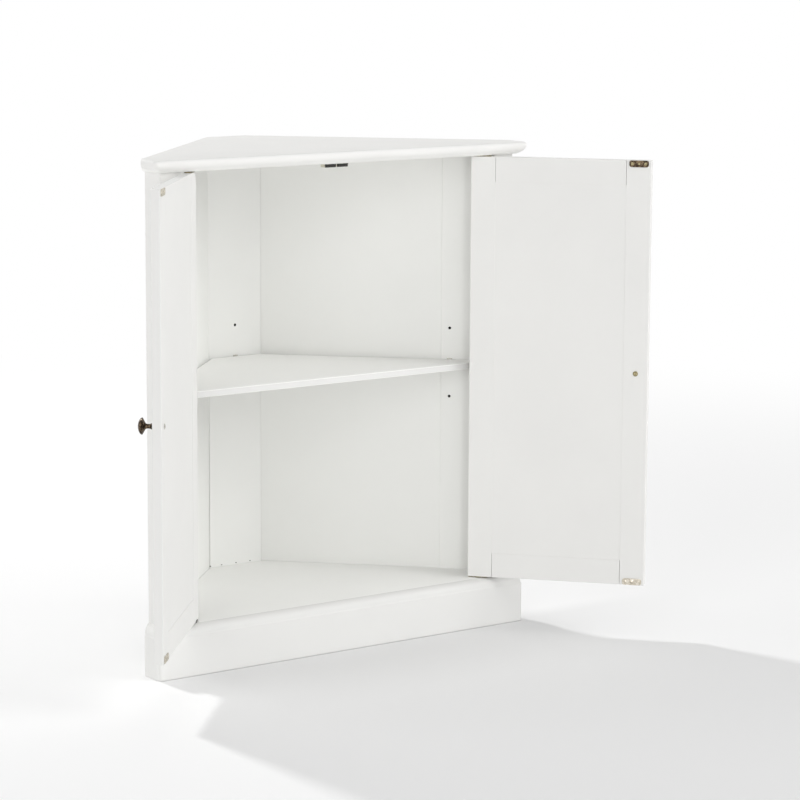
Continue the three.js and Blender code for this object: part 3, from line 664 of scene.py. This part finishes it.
flat_top = PLINTH_HIGH - PLINTH_MOULDING
inset = OVERHANG - FILLET
plinth_edge = np.concatenate([
    bezier([(OVERHANG - FOOT_ROUND, 0.0), (OVERHANG, 0.0), (OVERHANG, FOOT_ROUND)], 4),
    [(OVERHANG, flat_top - FILLET), (OVERHANG - FILLET / 2, flat_top)],
    bezier([(inset, flat_top + FILLET), (inset, PLINTH_HIGH - FILLET), (0.002, PLINTH_HIGH)], 14)])


def corner_arc(offset, start, end):
    """Part of the rounded corner of the plinth where it stands out by offset, in degrees."""
    radius = min(CORNER, offset)
    angle = np.radians(np.linspace(start, end, 9))
    return np.column_stack([HALF + offset - radius + radius * np.cos(angle),
                            radius - offset + radius * np.sin(angle)])


def front_plinth_outline(offset):
    """The front board's plan: the right mitre and half corner, less the gap, and their mirror."""
    right = np.vstack([corner_arc(offset, 270, 315), (HALF, 0.0)]) - (MITRE_GAP, 0.0)
    return np.vstack([right[::-1] * (-1, 1), right])


def side_plinth_outline(offset):
    """A short board's plan: its mitre and half corner, moved back by the gap, and its wall end."""
    back = [(HALF + offset, WALL_REACH - HALF - offset), (HALF, WALL_REACH - HALF)]
    return np.vstack([(HALF, MITRE_GAP), corner_arc(offset, 315, 360) + (0.0, MITRE_GAP), back])


# The plinth boards take the darker white, painted shade.
for word, side, plan in (("front", 1, front_plinth_outline), ("left", -1, side_plinth_outline),
                         ("right", 1, side_plinth_outline)):
    rings = np.stack([at_height(plan(offset), height) for offset, height in plinth_edge])
    make_piece(f"fine_plinth_{word}", [skin(stand(side, rings))], painted_shade_white, "carcase",
               [f"plinth_{word}"])

# %% [markdown]
# ### Floor panel
# The floor reaches between the stiles to their front face and fills the plan behind them, with a hair
# of room along the walls. Its eased arris there makes the fine dark line round the inside's foot. Two
# wells take the lower bushes.

# %% Floor panel
FLOOR_THICK, FLOOR_EASE = 0.015, 0.0003
stile_edge, return_face = HALF - STILE_WIDE, HALF - BOARD
floor_half = [(stile_edge, 0.0), (stile_edge, BOARD), (return_face, BOARD), (return_face, 0.0454),
              (0.2950, 0.1084), (0.2978, 0.1112), (0.0580, 0.3507)]
floor_outline = np.array(floor_half + [(-x, y) for x, y in reversed(floor_half)])
floor_rings = eased_board(floor_outline, PLINTH_HIGH - FLOOR_THICK, PLINTH_HIGH, FLOOR_EASE)
floor_sides, floor_faces = skin(floor_rings)
del floor_faces[-1]
mouths = [at_height(circle((side * PIVOT_X, PIVOT_Y), BUSH_WELL), PLINTH_HIGH) for side in SIDES.values()]
upper_face = holed_face(floor_rings[-1], mouths)
wells = [well(mouth, (0.0, 0.0, -BUSH_DEPTH)) for mouth in mouths]
floor_points, floor_faces = join_skins((floor_sides, floor_faces), upper_face, *wells)
# The floor panel takes the shelf's whiter paint, painted light.
make_piece("fine_floor_panel", [(stand(1, floor_points), floor_faces)], shelf_and_floor_painted_light, "carcase",
           ["floor_panel"])

# %% [markdown]
# ### Drilled boards
# The side boards and the rear board carry the shelf-pin holes. Each is an eased upright board, and the
# one large quad of its room side gives way to a face with round holes. A Boolean could cut them too, but
# it leaves long thin faces that catch the light. Their rounded room-side arrises make the fine upright
# lines inside, and the open holes are lined with near-black painted shade.

# %% Drilled boards
HOLE_RADIUS, HOLE_DEPTH = 0.0027, 0.009
HOLE_COLUMNS, HOLE_HEIGHTS = (-0.20417, -0.14817), (0.4142, 0.477, 0.5416)
ROOT = math.sqrt(2.0)
SIDE_DEPTH, BACK_DEPTH = 0.012, 0.008
SIDE_FRONT_X, REBATE_FROM, REBATE_TO, REBATE_DEPTH = 0.3577, -0.14417, -0.13217, 0.0083
REAR_FACE, REAR_THICK, REAR_HALF, REAR_BEVEL = 0.351, 0.015, 0.05826, 0.015


def on_wall(side, along, depth):
    """A place on a wall board: along runs back into the corner, depth into the cupboard, and
    x = (reach - (depth + along) root 2) / 2, y = (reach - (depth - along) root 2) / 2."""
    return np.array([side * (WALL_REACH - (depth + along) * ROOT) / 2,
                     (WALL_REACH - (depth - along) * ROOT) / 2 + FRONT, 0.0])


def drilled_board(outline, holes, ease=0.0004, steps=3):
    """An upright board with blind holes in the side whose middle is nearest to the holes' mean. Along
    that side runs u, up is z, and each hole's mouth is its middle + R (u cos t + z sin t)."""
    rings = eased_board(outline, 0.0, TOP_LOW, ease, steps=steps)
    points, faces = skin(rings)
    low, high = rings[steps], rings[steps + 1]
    span = np.roll(low, -1, axis=0) - low
    near = np.linalg.norm((low + span / 2 - holes.mean(axis=0))[:, :2], axis=1)
    place = int(near.argmin())
    after = (place + 1) % len(low)
    del faces[steps * len(low) + place]
    u = span[place] / np.linalg.norm(span[place])
    t = np.linspace(0.0, 2 * math.pi, 24, endpoint=False)[:, None]
    mouths = [hole + HOLE_RADIUS * (np.cos(t) * u + np.sin(t) * (0.0, 0.0, 1.0)) for hole in holes]
    face = holed_face([low[place], low[after], high[after], high[place]], mouths)
    inward = HOLE_DEPTH * np.array([-u[1], u[0], 0.0])
    return join_skins((points, faces), face, *(well(mouth, inward) for mouth in mouths))


def wall_corner(along, depth):
    """The same place on the right wall as a flat (x, y), measured from the doors' outer face."""
    return tuple(on_wall(1, along, depth)[:2] - (0.0, FRONT))


side_outline = round_corners(
    [(SIDE_FRONT_X, WALL_REACH - SIDE_FRONT_X), wall_corner(REBATE_FROM, 0.0),
     wall_corner(REBATE_FROM, REBATE_DEPTH), wall_corner(REBATE_TO, REBATE_DEPTH),
     wall_corner(REBATE_TO, SIDE_DEPTH), (SIDE_FRONT_X, WALL_REACH - SIDE_DEPTH * ROOT - SIDE_FRONT_X)],
    (0, 0, 0, 0, 0.0012, 0))
side_holes = np.array([(*wall_corner(along, SIDE_DEPTH), height)
                       for along in HOLE_COLUMNS for height in HOLE_HEIGHTS])
side_points, side_faces = drilled_board(side_outline, side_holes)
for word, side in SIDES.items():
    make_piece(f"fine_{word}_side_board", [(stand(side, side_points), side_faces)], inside_paint,
               "carcase", [f"{word}_side_board"])
rear_back = REAR_HALF - REAR_BEVEL
rear_outline = round_corners([(-REAR_HALF, REAR_FACE), (REAR_HALF, REAR_FACE),
                              (rear_back, REAR_FACE + REAR_THICK), (-rear_back, REAR_FACE + REAR_THICK)],
                             (0.0010, 0.0010, 0, 0))
rear_holes = np.array([(0.0, REAR_FACE, height) for height in HOLE_HEIGHTS])
rear_points, rear_faces = drilled_board(rear_outline, rear_holes)
make_piece("fine_rear_board", [(stand(1, rear_points), rear_faces)], inside_paint, "carcase",
           ["rear_board"])

# %% [markdown]
# ### Paint in the joint
# Where the rear board meets the left back, the coat has filled the joint above and thins to an open
# line low down. A three-sided bead, wider towards the top, stands for it.

# %% Paint in the joint
BEAD_LEGS = ((0.24, 0.0003), (0.44, 0.0013), (0.50, 0.0020), (TOP_LOW - 0.0003, 0.0020))
corner = np.array([REAR_FACE + BACK_DEPTH * ROOT - WALL_REACH, REAR_FACE])
bead = [at_height([corner + (-0.0001, 0.0002), corner - np.array([leg, leg]) / ROOT + (-0.0001, 0.0001),
                   corner + (leg, -0.00005)], height) for height, leg in BEAD_LEGS]
make_piece("rear_joint_paint_bead", [skin(stand(1, np.stack(bead)))], inside_paint, "carcase")

# %% [markdown]
# ### Shelf
# The shelf is one board cut to the same five-sided plan as the inside, a little smaller all round, and
# its arrises are eased before it is painted. A thin band of a darker white covers its front edge, as
# painted shade.

# %% Shelf
SHELF_LOW, SHELF_HIGH, SHELF_EASE = 0.4715, 0.4835, 0.0014
SHELF_HALF, SHELF_FRONT = 0.3555, 0.042
shelf_outline = [(-SHELF_HALF, SHELF_FRONT), (SHELF_HALF, SHELF_FRONT), (SHELF_HALF, 0.04499),
                 (0.05199, 0.3485), (-0.05199, 0.3485), (-SHELF_HALF, 0.04499)]
shelf_rings = eased_board(shelf_outline, SHELF_LOW, SHELF_HIGH, SHELF_EASE, steps=4)
make_piece("fine_shelf", [skin(stand(1, shelf_rings))], shelf_and_floor_painted_light, "carcase", ["shelf"])
band = rectangle((-SHELF_HALF + 0.0015, SHELF_FRONT - 0.0003), (SHELF_HALF - 0.0015, SHELF_FRONT + 0.0001))
band_rings = eased_board(band, SHELF_LOW + SHELF_EASE, SHELF_HIGH - SHELF_EASE, 0.0001)
make_piece("shelf_front_shade_band", [skin(stand(1, band_rings))], painted_shade_white, "carcase")

# %% [markdown]
# ## Turned pieces and screws
# A turned piece is its profile, radius against height, carried round an axis. A screw's head is a
# low dome with a cross pressed into it, which is a height worked out at every point of a round grid.

# %% Lathe and screw heads
def lathe(profile, segments=48):
    """Carries (radius, height) points round z: x = r cos t, y = r sin t. A point at radius 0 is a
    pole, whose copies are welded into one."""
    profile = np.asarray(profile, float)
    t = np.linspace(0.0, 2 * math.pi, segments, endpoint=False)
    radius, height = profile[:, :1], np.repeat(profile[:, 1:], segments, axis=1)
    return np.stack([radius * np.cos(t), radius * np.sin(t), height], axis=-1)


def screw_head(radius, rise, sunk, cross=0.62):
    """A dome of height rise (1 - (r / radius)^2) over a round grid, less a cross-shaped recess whose
    arms are cross times the radius long and a ninth of it wide to each side, deepest in the middle.
    Its skirt goes sunk deep and closes underneath."""
    r = radius * np.linspace(0.0, 1.0, 19)[::-1, None]
    t = np.linspace(0.0, 2 * math.pi, 64, endpoint=False)[None]
    x, y = r * np.cos(t), r * np.sin(t)
    reach, width = np.maximum(abs(x), abs(y)), np.minimum(abs(x), abs(y))
    arm = np.clip((radius * 0.16 - width) / (radius * 0.07), 0.0, 1.0)
    arm = arm * np.clip((radius * cross - reach) / (radius * cross), 0.0, 1.0) ** 0.5
    dome = rise * (1.0 - (r / radius) ** 2) - 1.1 * rise * arm
    head = np.stack([x, y, np.broadcast_to(dome, x.shape)], axis=-1)
    skirt = lathe([(0.0, -sunk), (radius * 0.97, -sunk), (radius, -sunk * 0.5)], 64)
    return np.concatenate([skirt, head])


def face_along(points, direction):
    """Turns points that were drawn about z: +y sends (x, y, z) to (x, z, -y), -y to (x, -z, y), -z to
    (x, -y, -z)."""
    x, y, z = points[..., 0], points[..., 1], points[..., 2]
    turned = {"+z": (x, y, z), "+y": (x, z, -y), "-y": (x, -z, y), "-z": (x, -y, -z)}[direction]
    return np.stack(turned, axis=-1)


print("turning helpers ready")

# %% [markdown]
# ## Fittings of the carcase
# Brass bushes in the top and the floor take the doors' pins. A bush is a turned sleeve with a thin
# collar, so one closed profile carried round its axis makes it, bore and all.

# %% Bushes
bush = [(0.0033, -0.0006), (0.0061, -0.0006), (0.0065, -0.0003), (0.0065, 0.0), (0.0050, 0.0),
        (0.0050, 0.0110), (0.0033, 0.0110), (0.0033, 0.0002), (0.0033, -0.0006)]
for word, side in SIDES.items():
    place = np.array([side * PIVOT_X, FRONT + PIVOT_Y, 0.0])
    upper = lathe(bush, 40) + place + (0.0, 0.0, TOP_LOW)
    lower = face_along(lathe(bush, 40), "-z") + place + (0.0, 0.0, PLINTH_HIGH)
    for end, rings in (("top", upper), ("bottom", lower)):
        make_piece(f"fine_{word}_{end}_bush", [skin(rings, False)], aged_brass, "carcase",
                   [f"{word}_{end}_bush"])

# %% [markdown]
# ### Shelf supports
# The shelf rests on five bent steel clips with a peg in the board. A clip is drawn once, from the side,
# given its width, and then turned and moved to each wall. Its upright plate shows above the shelf.

# %% Shelf supports
CLIP_HALF, PEG_RADIUS = 0.005, 0.0024
clip = [(-0.0118, -0.0073), (-0.0003, -0.0073), (-0.0003, 0.0088), (-0.0018, 0.0088),
        (-0.0018, -0.0058), (-0.0118, -0.0058)]
clip_outline = round_corners(clip, (0, 0.0014, 0, 0, 0, 0))
peg = [(0.0, -0.0010), (PEG_RADIUS, -0.0010), (PEG_RADIUS, 0.0055), (0.0018, 0.0062), (0.0, 0.0062)]
clip_skins = [eased_board(clip_outline, -CLIP_HALF, CLIP_HALF, 0.0003, "x"),
              face_along(lathe(peg, 32), "+y")]


def turn_about_z(points, degrees):
    """x' = x cos a - y sin a, y' = x sin a + y cos a."""
    a = math.radians(degrees)
    x, y, z = points[..., 0], points[..., 1], points[..., 2]
    return np.stack([x * math.cos(a) - y * math.sin(a), x * math.sin(a) + y * math.cos(a), z], axis=-1)


def add_clip(name, place, degrees):
    """A clip turned about z and moved to its place, at the height of the middle holes."""
    place = place + (0.0, 0.0, HOLE_HEIGHTS[1])
    skins = [skin(turn_about_z(points, degrees) + place) for points in clip_skins]
    make_piece(f"fine_{name}", skins, plated_steel, "carcase", [name])


WALL_TURN = 45.0
for word, side in SIDES.items():
    for number, along in enumerate(HOLE_COLUMNS, start=1):
        add_clip(f"shelf_support_{word}_{number}", on_wall(side, along, SIDE_DEPTH), -WALL_TURN * side)
add_clip("shelf_support_rear", np.array([0.0, REAR_FACE + FRONT, 0.0]), 0.0)

# %% [markdown]
# ### Painted shade in the open holes
# Almost no light gets into a drilled hole. A thin turned cup of near-black colour, painted shade,
# lines each hole that holds no peg.

# %% Painted shade in the open holes
cup = face_along(lathe([(0.0, -0.0088), (0.0026, -0.0088), (0.0026, -0.0003), (0.0024, -0.0002),
                        (0.0023, -0.0003), (0.0023, -0.0080), (0.0, -0.0080)], 24), "-y")
open_heights = (HOLE_HEIGHTS[0], HOLE_HEIGHTS[2])
for word, side in SIDES.items():
    turned_cup = turn_about_z(cup, -WALL_TURN * side)
    cups = [skin(turned_cup + on_wall(side, along, SIDE_DEPTH) + (0.0, 0.0, height))
            for along in HOLE_COLUMNS for height in open_heights]
    make_piece(f"{word}_hole_shade_linings", cups, painted_hole_shade, "carcase")
cups = [skin(cup + (0.0, REAR_FACE + FRONT, height)) for height in open_heights]
make_piece("rear_hole_shade_linings", cups, painted_hole_shade, "carcase")

# %% [markdown]
# ### Brads
# Small brads hold the thin backs from behind, and four dark ones show along the rear board's foot.
# Their heads are a few pixels wide at most, so a profile of five points is enough.

# %% Brads of the backs and the rear board
BRAD_HEIGHTS, BRAD_COLUMNS = np.linspace(0.105, 0.845, 7), (-0.1380, 0.2170)
FOOT_BRADS, FOOT_BRAD_HEIGHT = (-0.0565, -0.0317, 0.0003, 0.0316), 0.0912
brad = lathe([(0.0, -0.0004), (0.0014, -0.0004), (0.0014, 0.0001), (0.0010, 0.0003), (0.0, 0.0004)], 24)
for word, side in SIDES.items():
    back_brad = turn_about_z(face_along(brad, "+y"), -WALL_TURN * side)
    heads = [skin(back_brad + on_wall(side, along, 0.004) + (0.0, 0.0, height))
             for along in BRAD_COLUMNS for height in BRAD_HEIGHTS]
    make_piece(f"{word}_back_panel_brads", heads, plated_steel, "carcase")
foot_brad = face_along(brad * (1.25, 0.65, 0.8), "-y")
heads = [skin(stand(1, foot_brad + (x, REAR_FACE, FOOT_BRAD_HEIGHT))) for x in FOOT_BRADS]
make_piece("rear_board_brads", heads, magnet_steel, "carcase")

# %% [markdown]
# ### Double catch
# The catch hangs from the top: a cream moulding with an ear at each end, and for each door a black
# magnet under a steel plate. All are eased blocks, because a moulding has a small radius everywhere.

# %% Double catch
CATCH_FRONT, CATCH_BACK, CATCH_LOW = 0.0192, 0.0332, 0.8582
STEEL_THICK, STEEL_LOW, EAR_THICK = 0.004, 0.8634, 0.002
EAR_END, EAR_SCREW, MOULDING_END = 0.040, 0.033, 0.026
MAGNET_NEAR, MAGNET_FAR = 0.0013, 0.0238
housing_front = CATCH_FRONT + STEEL_THICK
ears = round_corners(rectangle((-EAR_END, housing_front), (EAR_END, CATCH_BACK)), (0.003,) * 4)
moulding = rectangle((-MOULDING_END, housing_front), (MOULDING_END, CATCH_BACK))
housing = [skin(stand(1, eased_board(ears, TOP_LOW - EAR_THICK, TOP_LOW, 0.0004))),
           skin(stand(1, eased_board(moulding, CATCH_LOW, TOP_LOW, 0.0007)))]
make_piece("fine_catch_housing", housing, cream_plastic, "carcase", ["catch_housing"])
ear_screw = face_along(screw_head(0.0028, 0.0007, 0.0006), "-z")
ear_place = np.array([0.0, (housing_front + CATCH_BACK) / 2, TOP_LOW - EAR_THICK - 0.0001])
ear_screws = [skin(stand(1, ear_screw + ear_place + (x, 0.0, 0.0))) for x in (-EAR_SCREW, EAR_SCREW)]
make_piece("catch_ear_screws", ear_screws, aged_brass, "carcase")
for word, side in SIDES.items():
    ends = sorted((side * MAGNET_NEAR, side * MAGNET_FAR))
    steel = rectangle((ends[0], CATCH_FRONT), (ends[1], housing_front))
    block = rectangle((ends[0] + 0.0006, CATCH_FRONT + 0.0007), (ends[1] - 0.0006, housing_front))
    steel_rings = stand(1, eased_board(steel, STEEL_LOW, TOP_LOW - 0.0002, 0.0003))
    block_rings = stand(1, eased_board(block, CATCH_LOW, STEEL_LOW - 0.0001, 0.0003))
    make_piece(f"fine_catch_{word}_magnet", [skin(steel_rings)], magnet_steel, "carcase",
               [f"catch_{word}_magnet"])
    make_piece(f"catch_{word}_magnet_block", [skin(block_rings)], black_ferrite_and_shade, "carcase")

# %% [markdown]
# ## The doors
# Each door is a frame of two uprights and two rails with a panel in it. It is drawn closed, as the
# right-hand door, with its pins on the z axis; the last step mirrors it for the left, opens it and
# moves it to its pivot. The rails are held a hair short of the uprights: that is the fine dark line
# at the ends of the rails in the photograph. The panel lies 7 mm deep on the outside and is almost
# flush on the inside.

# %% Door frame and panel
OPENING = {"left": 132.0, "right": 131.0}
HINGE_X, MEETING_X = 0.019, -0.309
DOOR_LOW, DOOR_HIGH = 0.0905, 0.8645
OUTER, INNER = -0.008, 0.008
FRAME_WIDTH, DOOR_ROUND, RAIL_ROUND = 0.045, 0.0015, 0.0007
PANEL_SUNK, PANEL_INSIDE = 0.007, 0.0005
JOINT = 0.0006


def hang(word, points):
    """From the closed right-hand door to the open door on either side."""
    side = SIDES[word]
    mirrored = points * np.array([side, 1.0, 1.0])
    return turn_about_z(mirrored, side * OPENING[word]) + (side * PIVOT_X, FRONT + PIVOT_Y, 0.0)


def add_door_board(word, part, outline, low, high, ease, axis):
    """An eased board of one door, hung in its place."""
    rings = hang(word, eased_board(outline, low, high, ease, axis))
    # Painted shade: the left door's meeting stile takes the paint whose edge face is darker.
    finish = meeting_paint if (word, part) == ("left", "meeting_stile") else outside_paint
    make_piece(f"fine_{word}_door_{part}", [skin(rings)], finish, f"{word}_door",
               [f"{word}_door_{part}"])


hinge_joint, meeting_joint = HINGE_X - FRAME_WIDTH, MEETING_X + FRAME_WIDTH
rail_low, rail_high = DOOR_LOW + FRAME_WIDTH, DOOR_HIGH - FRAME_WIDTH
rail_ends = (meeting_joint + JOINT, hinge_joint - JOINT)
stile_ends = (DOOR_LOW, DOOR_HIGH)
hinge_stile = round_corners(rectangle((hinge_joint, OUTER), (HINGE_X, INNER)),
                            (0, DOOR_ROUND, DOOR_ROUND, 0))
meeting_stile = round_corners(rectangle((MEETING_X, OUTER), (meeting_joint, INNER)),
                              (DOOR_ROUND, 0, 0, DOOR_ROUND))
top_rail = round_corners(rectangle((OUTER, rail_high), (INNER, DOOR_HIGH)), (0, 0, RAIL_ROUND, RAIL_ROUND))
bottom_rail = round_corners(rectangle((OUTER, DOOR_LOW), (INNER, rail_low)), (RAIL_ROUND, RAIL_ROUND, 0, 0))
panel = rectangle((rail_low, meeting_joint), (rail_high, hinge_joint))
for word in SIDES:
    add_door_board(word, "hinge_stile", hinge_stile, *stile_ends, EASE, "z")
    add_door_board(word, "meeting_stile", meeting_stile, *stile_ends, EASE, "z")
    add_door_board(word, "top_rail", top_rail, *rail_ends, 0.0003, "x")
    add_door_board(word, "bottom_rail", bottom_rail, *rail_ends, 0.0003, "x")
    add_door_board(word, "panel", panel, OUTER + PANEL_SUNK, INNER - PANEL_INSIDE, 0.0002, "y")

# %% [markdown]
# ### Pivots
# A thin plate is screwed to each end of the door near its hinge edge, and its pin turns in a bush.
# Only the plates' edges show in the narrow gaps above and below the open doors.

# %% Pivot plates with their pins
PIVOT_PLATE_FROM, PIVOT_PLATE_TO, PIVOT_PLATE_HALF = 0.0007 - 0.018, 0.0007 + 0.018, 0.006
PLATE_NEAR, PLATE_FAR = 0.0003, 0.0015
PIN_RADIUS, PIN_LONG = 0.0030, 0.0098
plate_outline = round_corners(rectangle((PIVOT_PLATE_FROM, -PIVOT_PLATE_HALF),
                                        (PIVOT_PLATE_TO, PIVOT_PLATE_HALF)), (0.0035,) * 4)
lower_plate = eased_board(plate_outline, DOOR_LOW - PLATE_FAR, DOOR_LOW - PLATE_NEAR, 0.0002)
upper_plate = eased_board(plate_outline, DOOR_HIGH + PLATE_NEAR, DOOR_HIGH + PLATE_FAR, 0.0002)
pin = lathe([(0.0, 0.0), (PIN_RADIUS, 0.0), (PIN_RADIUS, 0.0090), (0.0022, PIN_LONG), (0.0, PIN_LONG)], 40)
upper_pin = pin + (0.0, 0.0, DOOR_HIGH + 0.0007)
lower_pin = face_along(pin, "-z") + (0.0, 0.0, DOOR_LOW - 0.0007)
plate_screws = [screw_head(0.0026, 0.0004, 0.0004) + (x, 0.0, 0.0) for x in (-0.0125, 0.0132)]
upper_screws = [head + (0.0, 0.0, DOOR_HIGH + PLATE_FAR) for head in plate_screws]
lower_screws = [face_along(head, "-z") + (0.0, 0.0, DOOR_LOW - PLATE_FAR) for head in plate_screws]
for word in SIDES:
    for end, plate_and_pin in (("bottom", (lower_plate, lower_pin)), ("top", (upper_plate, upper_pin))):
        make_piece(f"fine_{word}_door_{end}_pivot", [skin(hang(word, rings)) for rings in plate_and_pin],
                   aged_brass, f"{word}_door", [f"{word}_door_{end}_pivot"])
    heads = [skin(hang(word, head)) for head in upper_screws + lower_screws]
    make_piece(f"{word}_pivot_plate_screws", heads, aged_brass, f"{word}_door")

# %% [markdown]
# ### Painted shade at the left pivot
# One black mark shows at the foot of the left door, in line with its pin, where the pin's end sits in
# shadow. A black tab of the lower plate, bent up over the door's inner face, is that painted shade.

# %% Painted shade at the left lower pivot
tab = rectangle((-0.0060, INNER - 0.0004), (0.0060, INNER + 0.0008))
tab_rings = hang("left", eased_board(tab, DOOR_LOW - 0.0020, DOOR_LOW + 0.0016, 0.0002))
# A black tab, painted shade where the pin's end lies in shadow.
make_piece("left_lower_pivot_painted_shade", [skin(tab_rings)], black_ferrite_and_shade, "left_door")

# %% [markdown]
# ### Knobs
# The knob is turned: a thin foot, a waisted neck and a wide, flattened head with a sharp rim. One
# screw from inside the door holds it, and its cross head shows on the inner face.

# %% Knobs and their screws
STILE_MIDDLE, KNOB_HEIGHT = MEETING_X + FRAME_WIDTH / 2, 0.4800
FOOT, NECK, RIM, RISE = 0.00725, 0.00375, 0.01395, 0.0265

foot = [(0.0, 0.0), (FOOT - 0.0004, 0.0), (FOOT, 0.0004), (FOOT, 0.0022), (FOOT - 0.0005, 0.0029)]
flare = bezier([(FOOT - 0.0010, 0.0030), (NECK, 0.0055), (NECK, 0.0080), (NECK, 0.0105)], 16)
head_back = bezier([(NECK, 0.0105), (NECK, 0.01515), (FOOT, 0.01515), (RIM, 0.0196)], 16)[1:]
rim = bezier([(RIM, 0.0196), (RIM + 0.00005, 0.0198), (RIM - 0.0001, 0.0202)], 4)[1:]
dome = bezier([(RIM - 0.0001, 0.0202), (RIM - 0.0004, 0.0232), (FOOT, RISE), (0.0, RISE)], 18)[1:]
knob_rings = face_along(lathe(np.concatenate([foot, flare, head_back, rim, dome]), 72), "-y")
knob_rings = knob_rings + (STILE_MIDDLE, OUTER - 0.0003, KNOB_HEIGHT)
screw_rings = face_along(screw_head(0.0047, 0.0012, 0.0008), "+y")
screw_rings = screw_rings + (STILE_MIDDLE, INNER + 0.0009, KNOB_HEIGHT)
for word, screw_metal in (("left", plated_steel), ("right", aged_brass)):
    make_piece(f"fine_{word}_knob", [skin(hang(word, knob_rings), False)], antique_bronze, f"{word}_door",
               [f"{word}_knob"], crisp=50.0)
    make_piece(f"fine_{word}_knob_screw", [skin(hang(word, screw_rings), False)], screw_metal,
               f"{word}_door", [f"{word}_knob_screw"])

# %% [markdown]
# ### Strike plates
# A small round-cornered plate near each end of the meeting edge meets the magnet of the catch. It has
# a low pressed boss in the middle, with a paler cap on top that is a painted highlight, and a screw at
# each end. All plates but the right door's upper one are in the paler bronze, a painted reflection.

# %% Strike plates
STRIKE_HALF_LONG, STRIKE_HALF_WIDE, STRIKE_ROUND = 0.0175, 0.006, 0.004
STRIKE_INSET = 0.0063
BOSS_RADIUS, BOSS_RISE = 0.004, 0.00116
STRIKE_SCREW = 0.012
strike_heights = {"top": DOOR_HIGH - STRIKE_INSET, "bottom": DOOR_LOW + STRIKE_INSET}
strike_face = INNER + 0.0015
spread = np.linspace(0.0, 1.0, 13)[::-1]
boss = [(0.0, -0.0006), (BOSS_RADIUS, -0.0006),
        *zip(BOSS_RADIUS * spread, BOSS_RISE / 2 * (1 + np.cos(math.pi * spread)))]
boss_rings = face_along(lathe(boss, 40), "+y")
# A paler cap on the boss is a painted highlight, in the finish of the plate's screws.
boss_highlight = [(0.0, 0.0004), (0.0017, 0.0004), (0.0018, 0.0008), (0.0011, 0.0011), (0.0, 0.0012)]
boss_highlight_rings = face_along(lathe(boss_highlight, 32), "+y")
strike_screw = face_along(screw_head(0.0027, 0.0006, 0.0006), "+y")
for word in SIDES:
    for end, height in strike_heights.items():
        outline = round_corners(rectangle((height - STRIKE_HALF_WIDE, STILE_MIDDLE - STRIKE_HALF_LONG),
                                          (height + STRIKE_HALF_WIDE, STILE_MIDDLE + STRIKE_HALF_LONG)),
                                (STRIKE_ROUND,) * 4, 6)
        middle = np.array([STILE_MIDDLE, strike_face, height])
        # Painted reflection: every plate but the right door's upper one gets the paler bronze.
        dark = (word, end) == ("right", "top")
        finish, head_finish = (antique_bronze, aged_brass) if dark else (painted_reflection_bronze, painted_reflection_bronze)
        plate = skin(hang(word, eased_board(outline, INNER + 0.0003, strike_face, 0.0003, "y")))
        bump = skin(hang(word, boss_rings + middle), False)
        make_piece(f"fine_{word}_door_{end}_strike_plate", [plate, bump], finish, f"{word}_door",
                   [f"{word}_door_{end}_strike_plate"])
        heads = [skin(hang(word, strike_screw + middle + (x, 0.0001, 0.0)), False)
                 for x in (-STRIKE_SCREW, STRIKE_SCREW)]
        heads.append(skin(hang(word, boss_highlight_rings + middle)))
        make_piece(f"{word}_{end}_strike_screws", heads, head_finish, f"{word}_door")
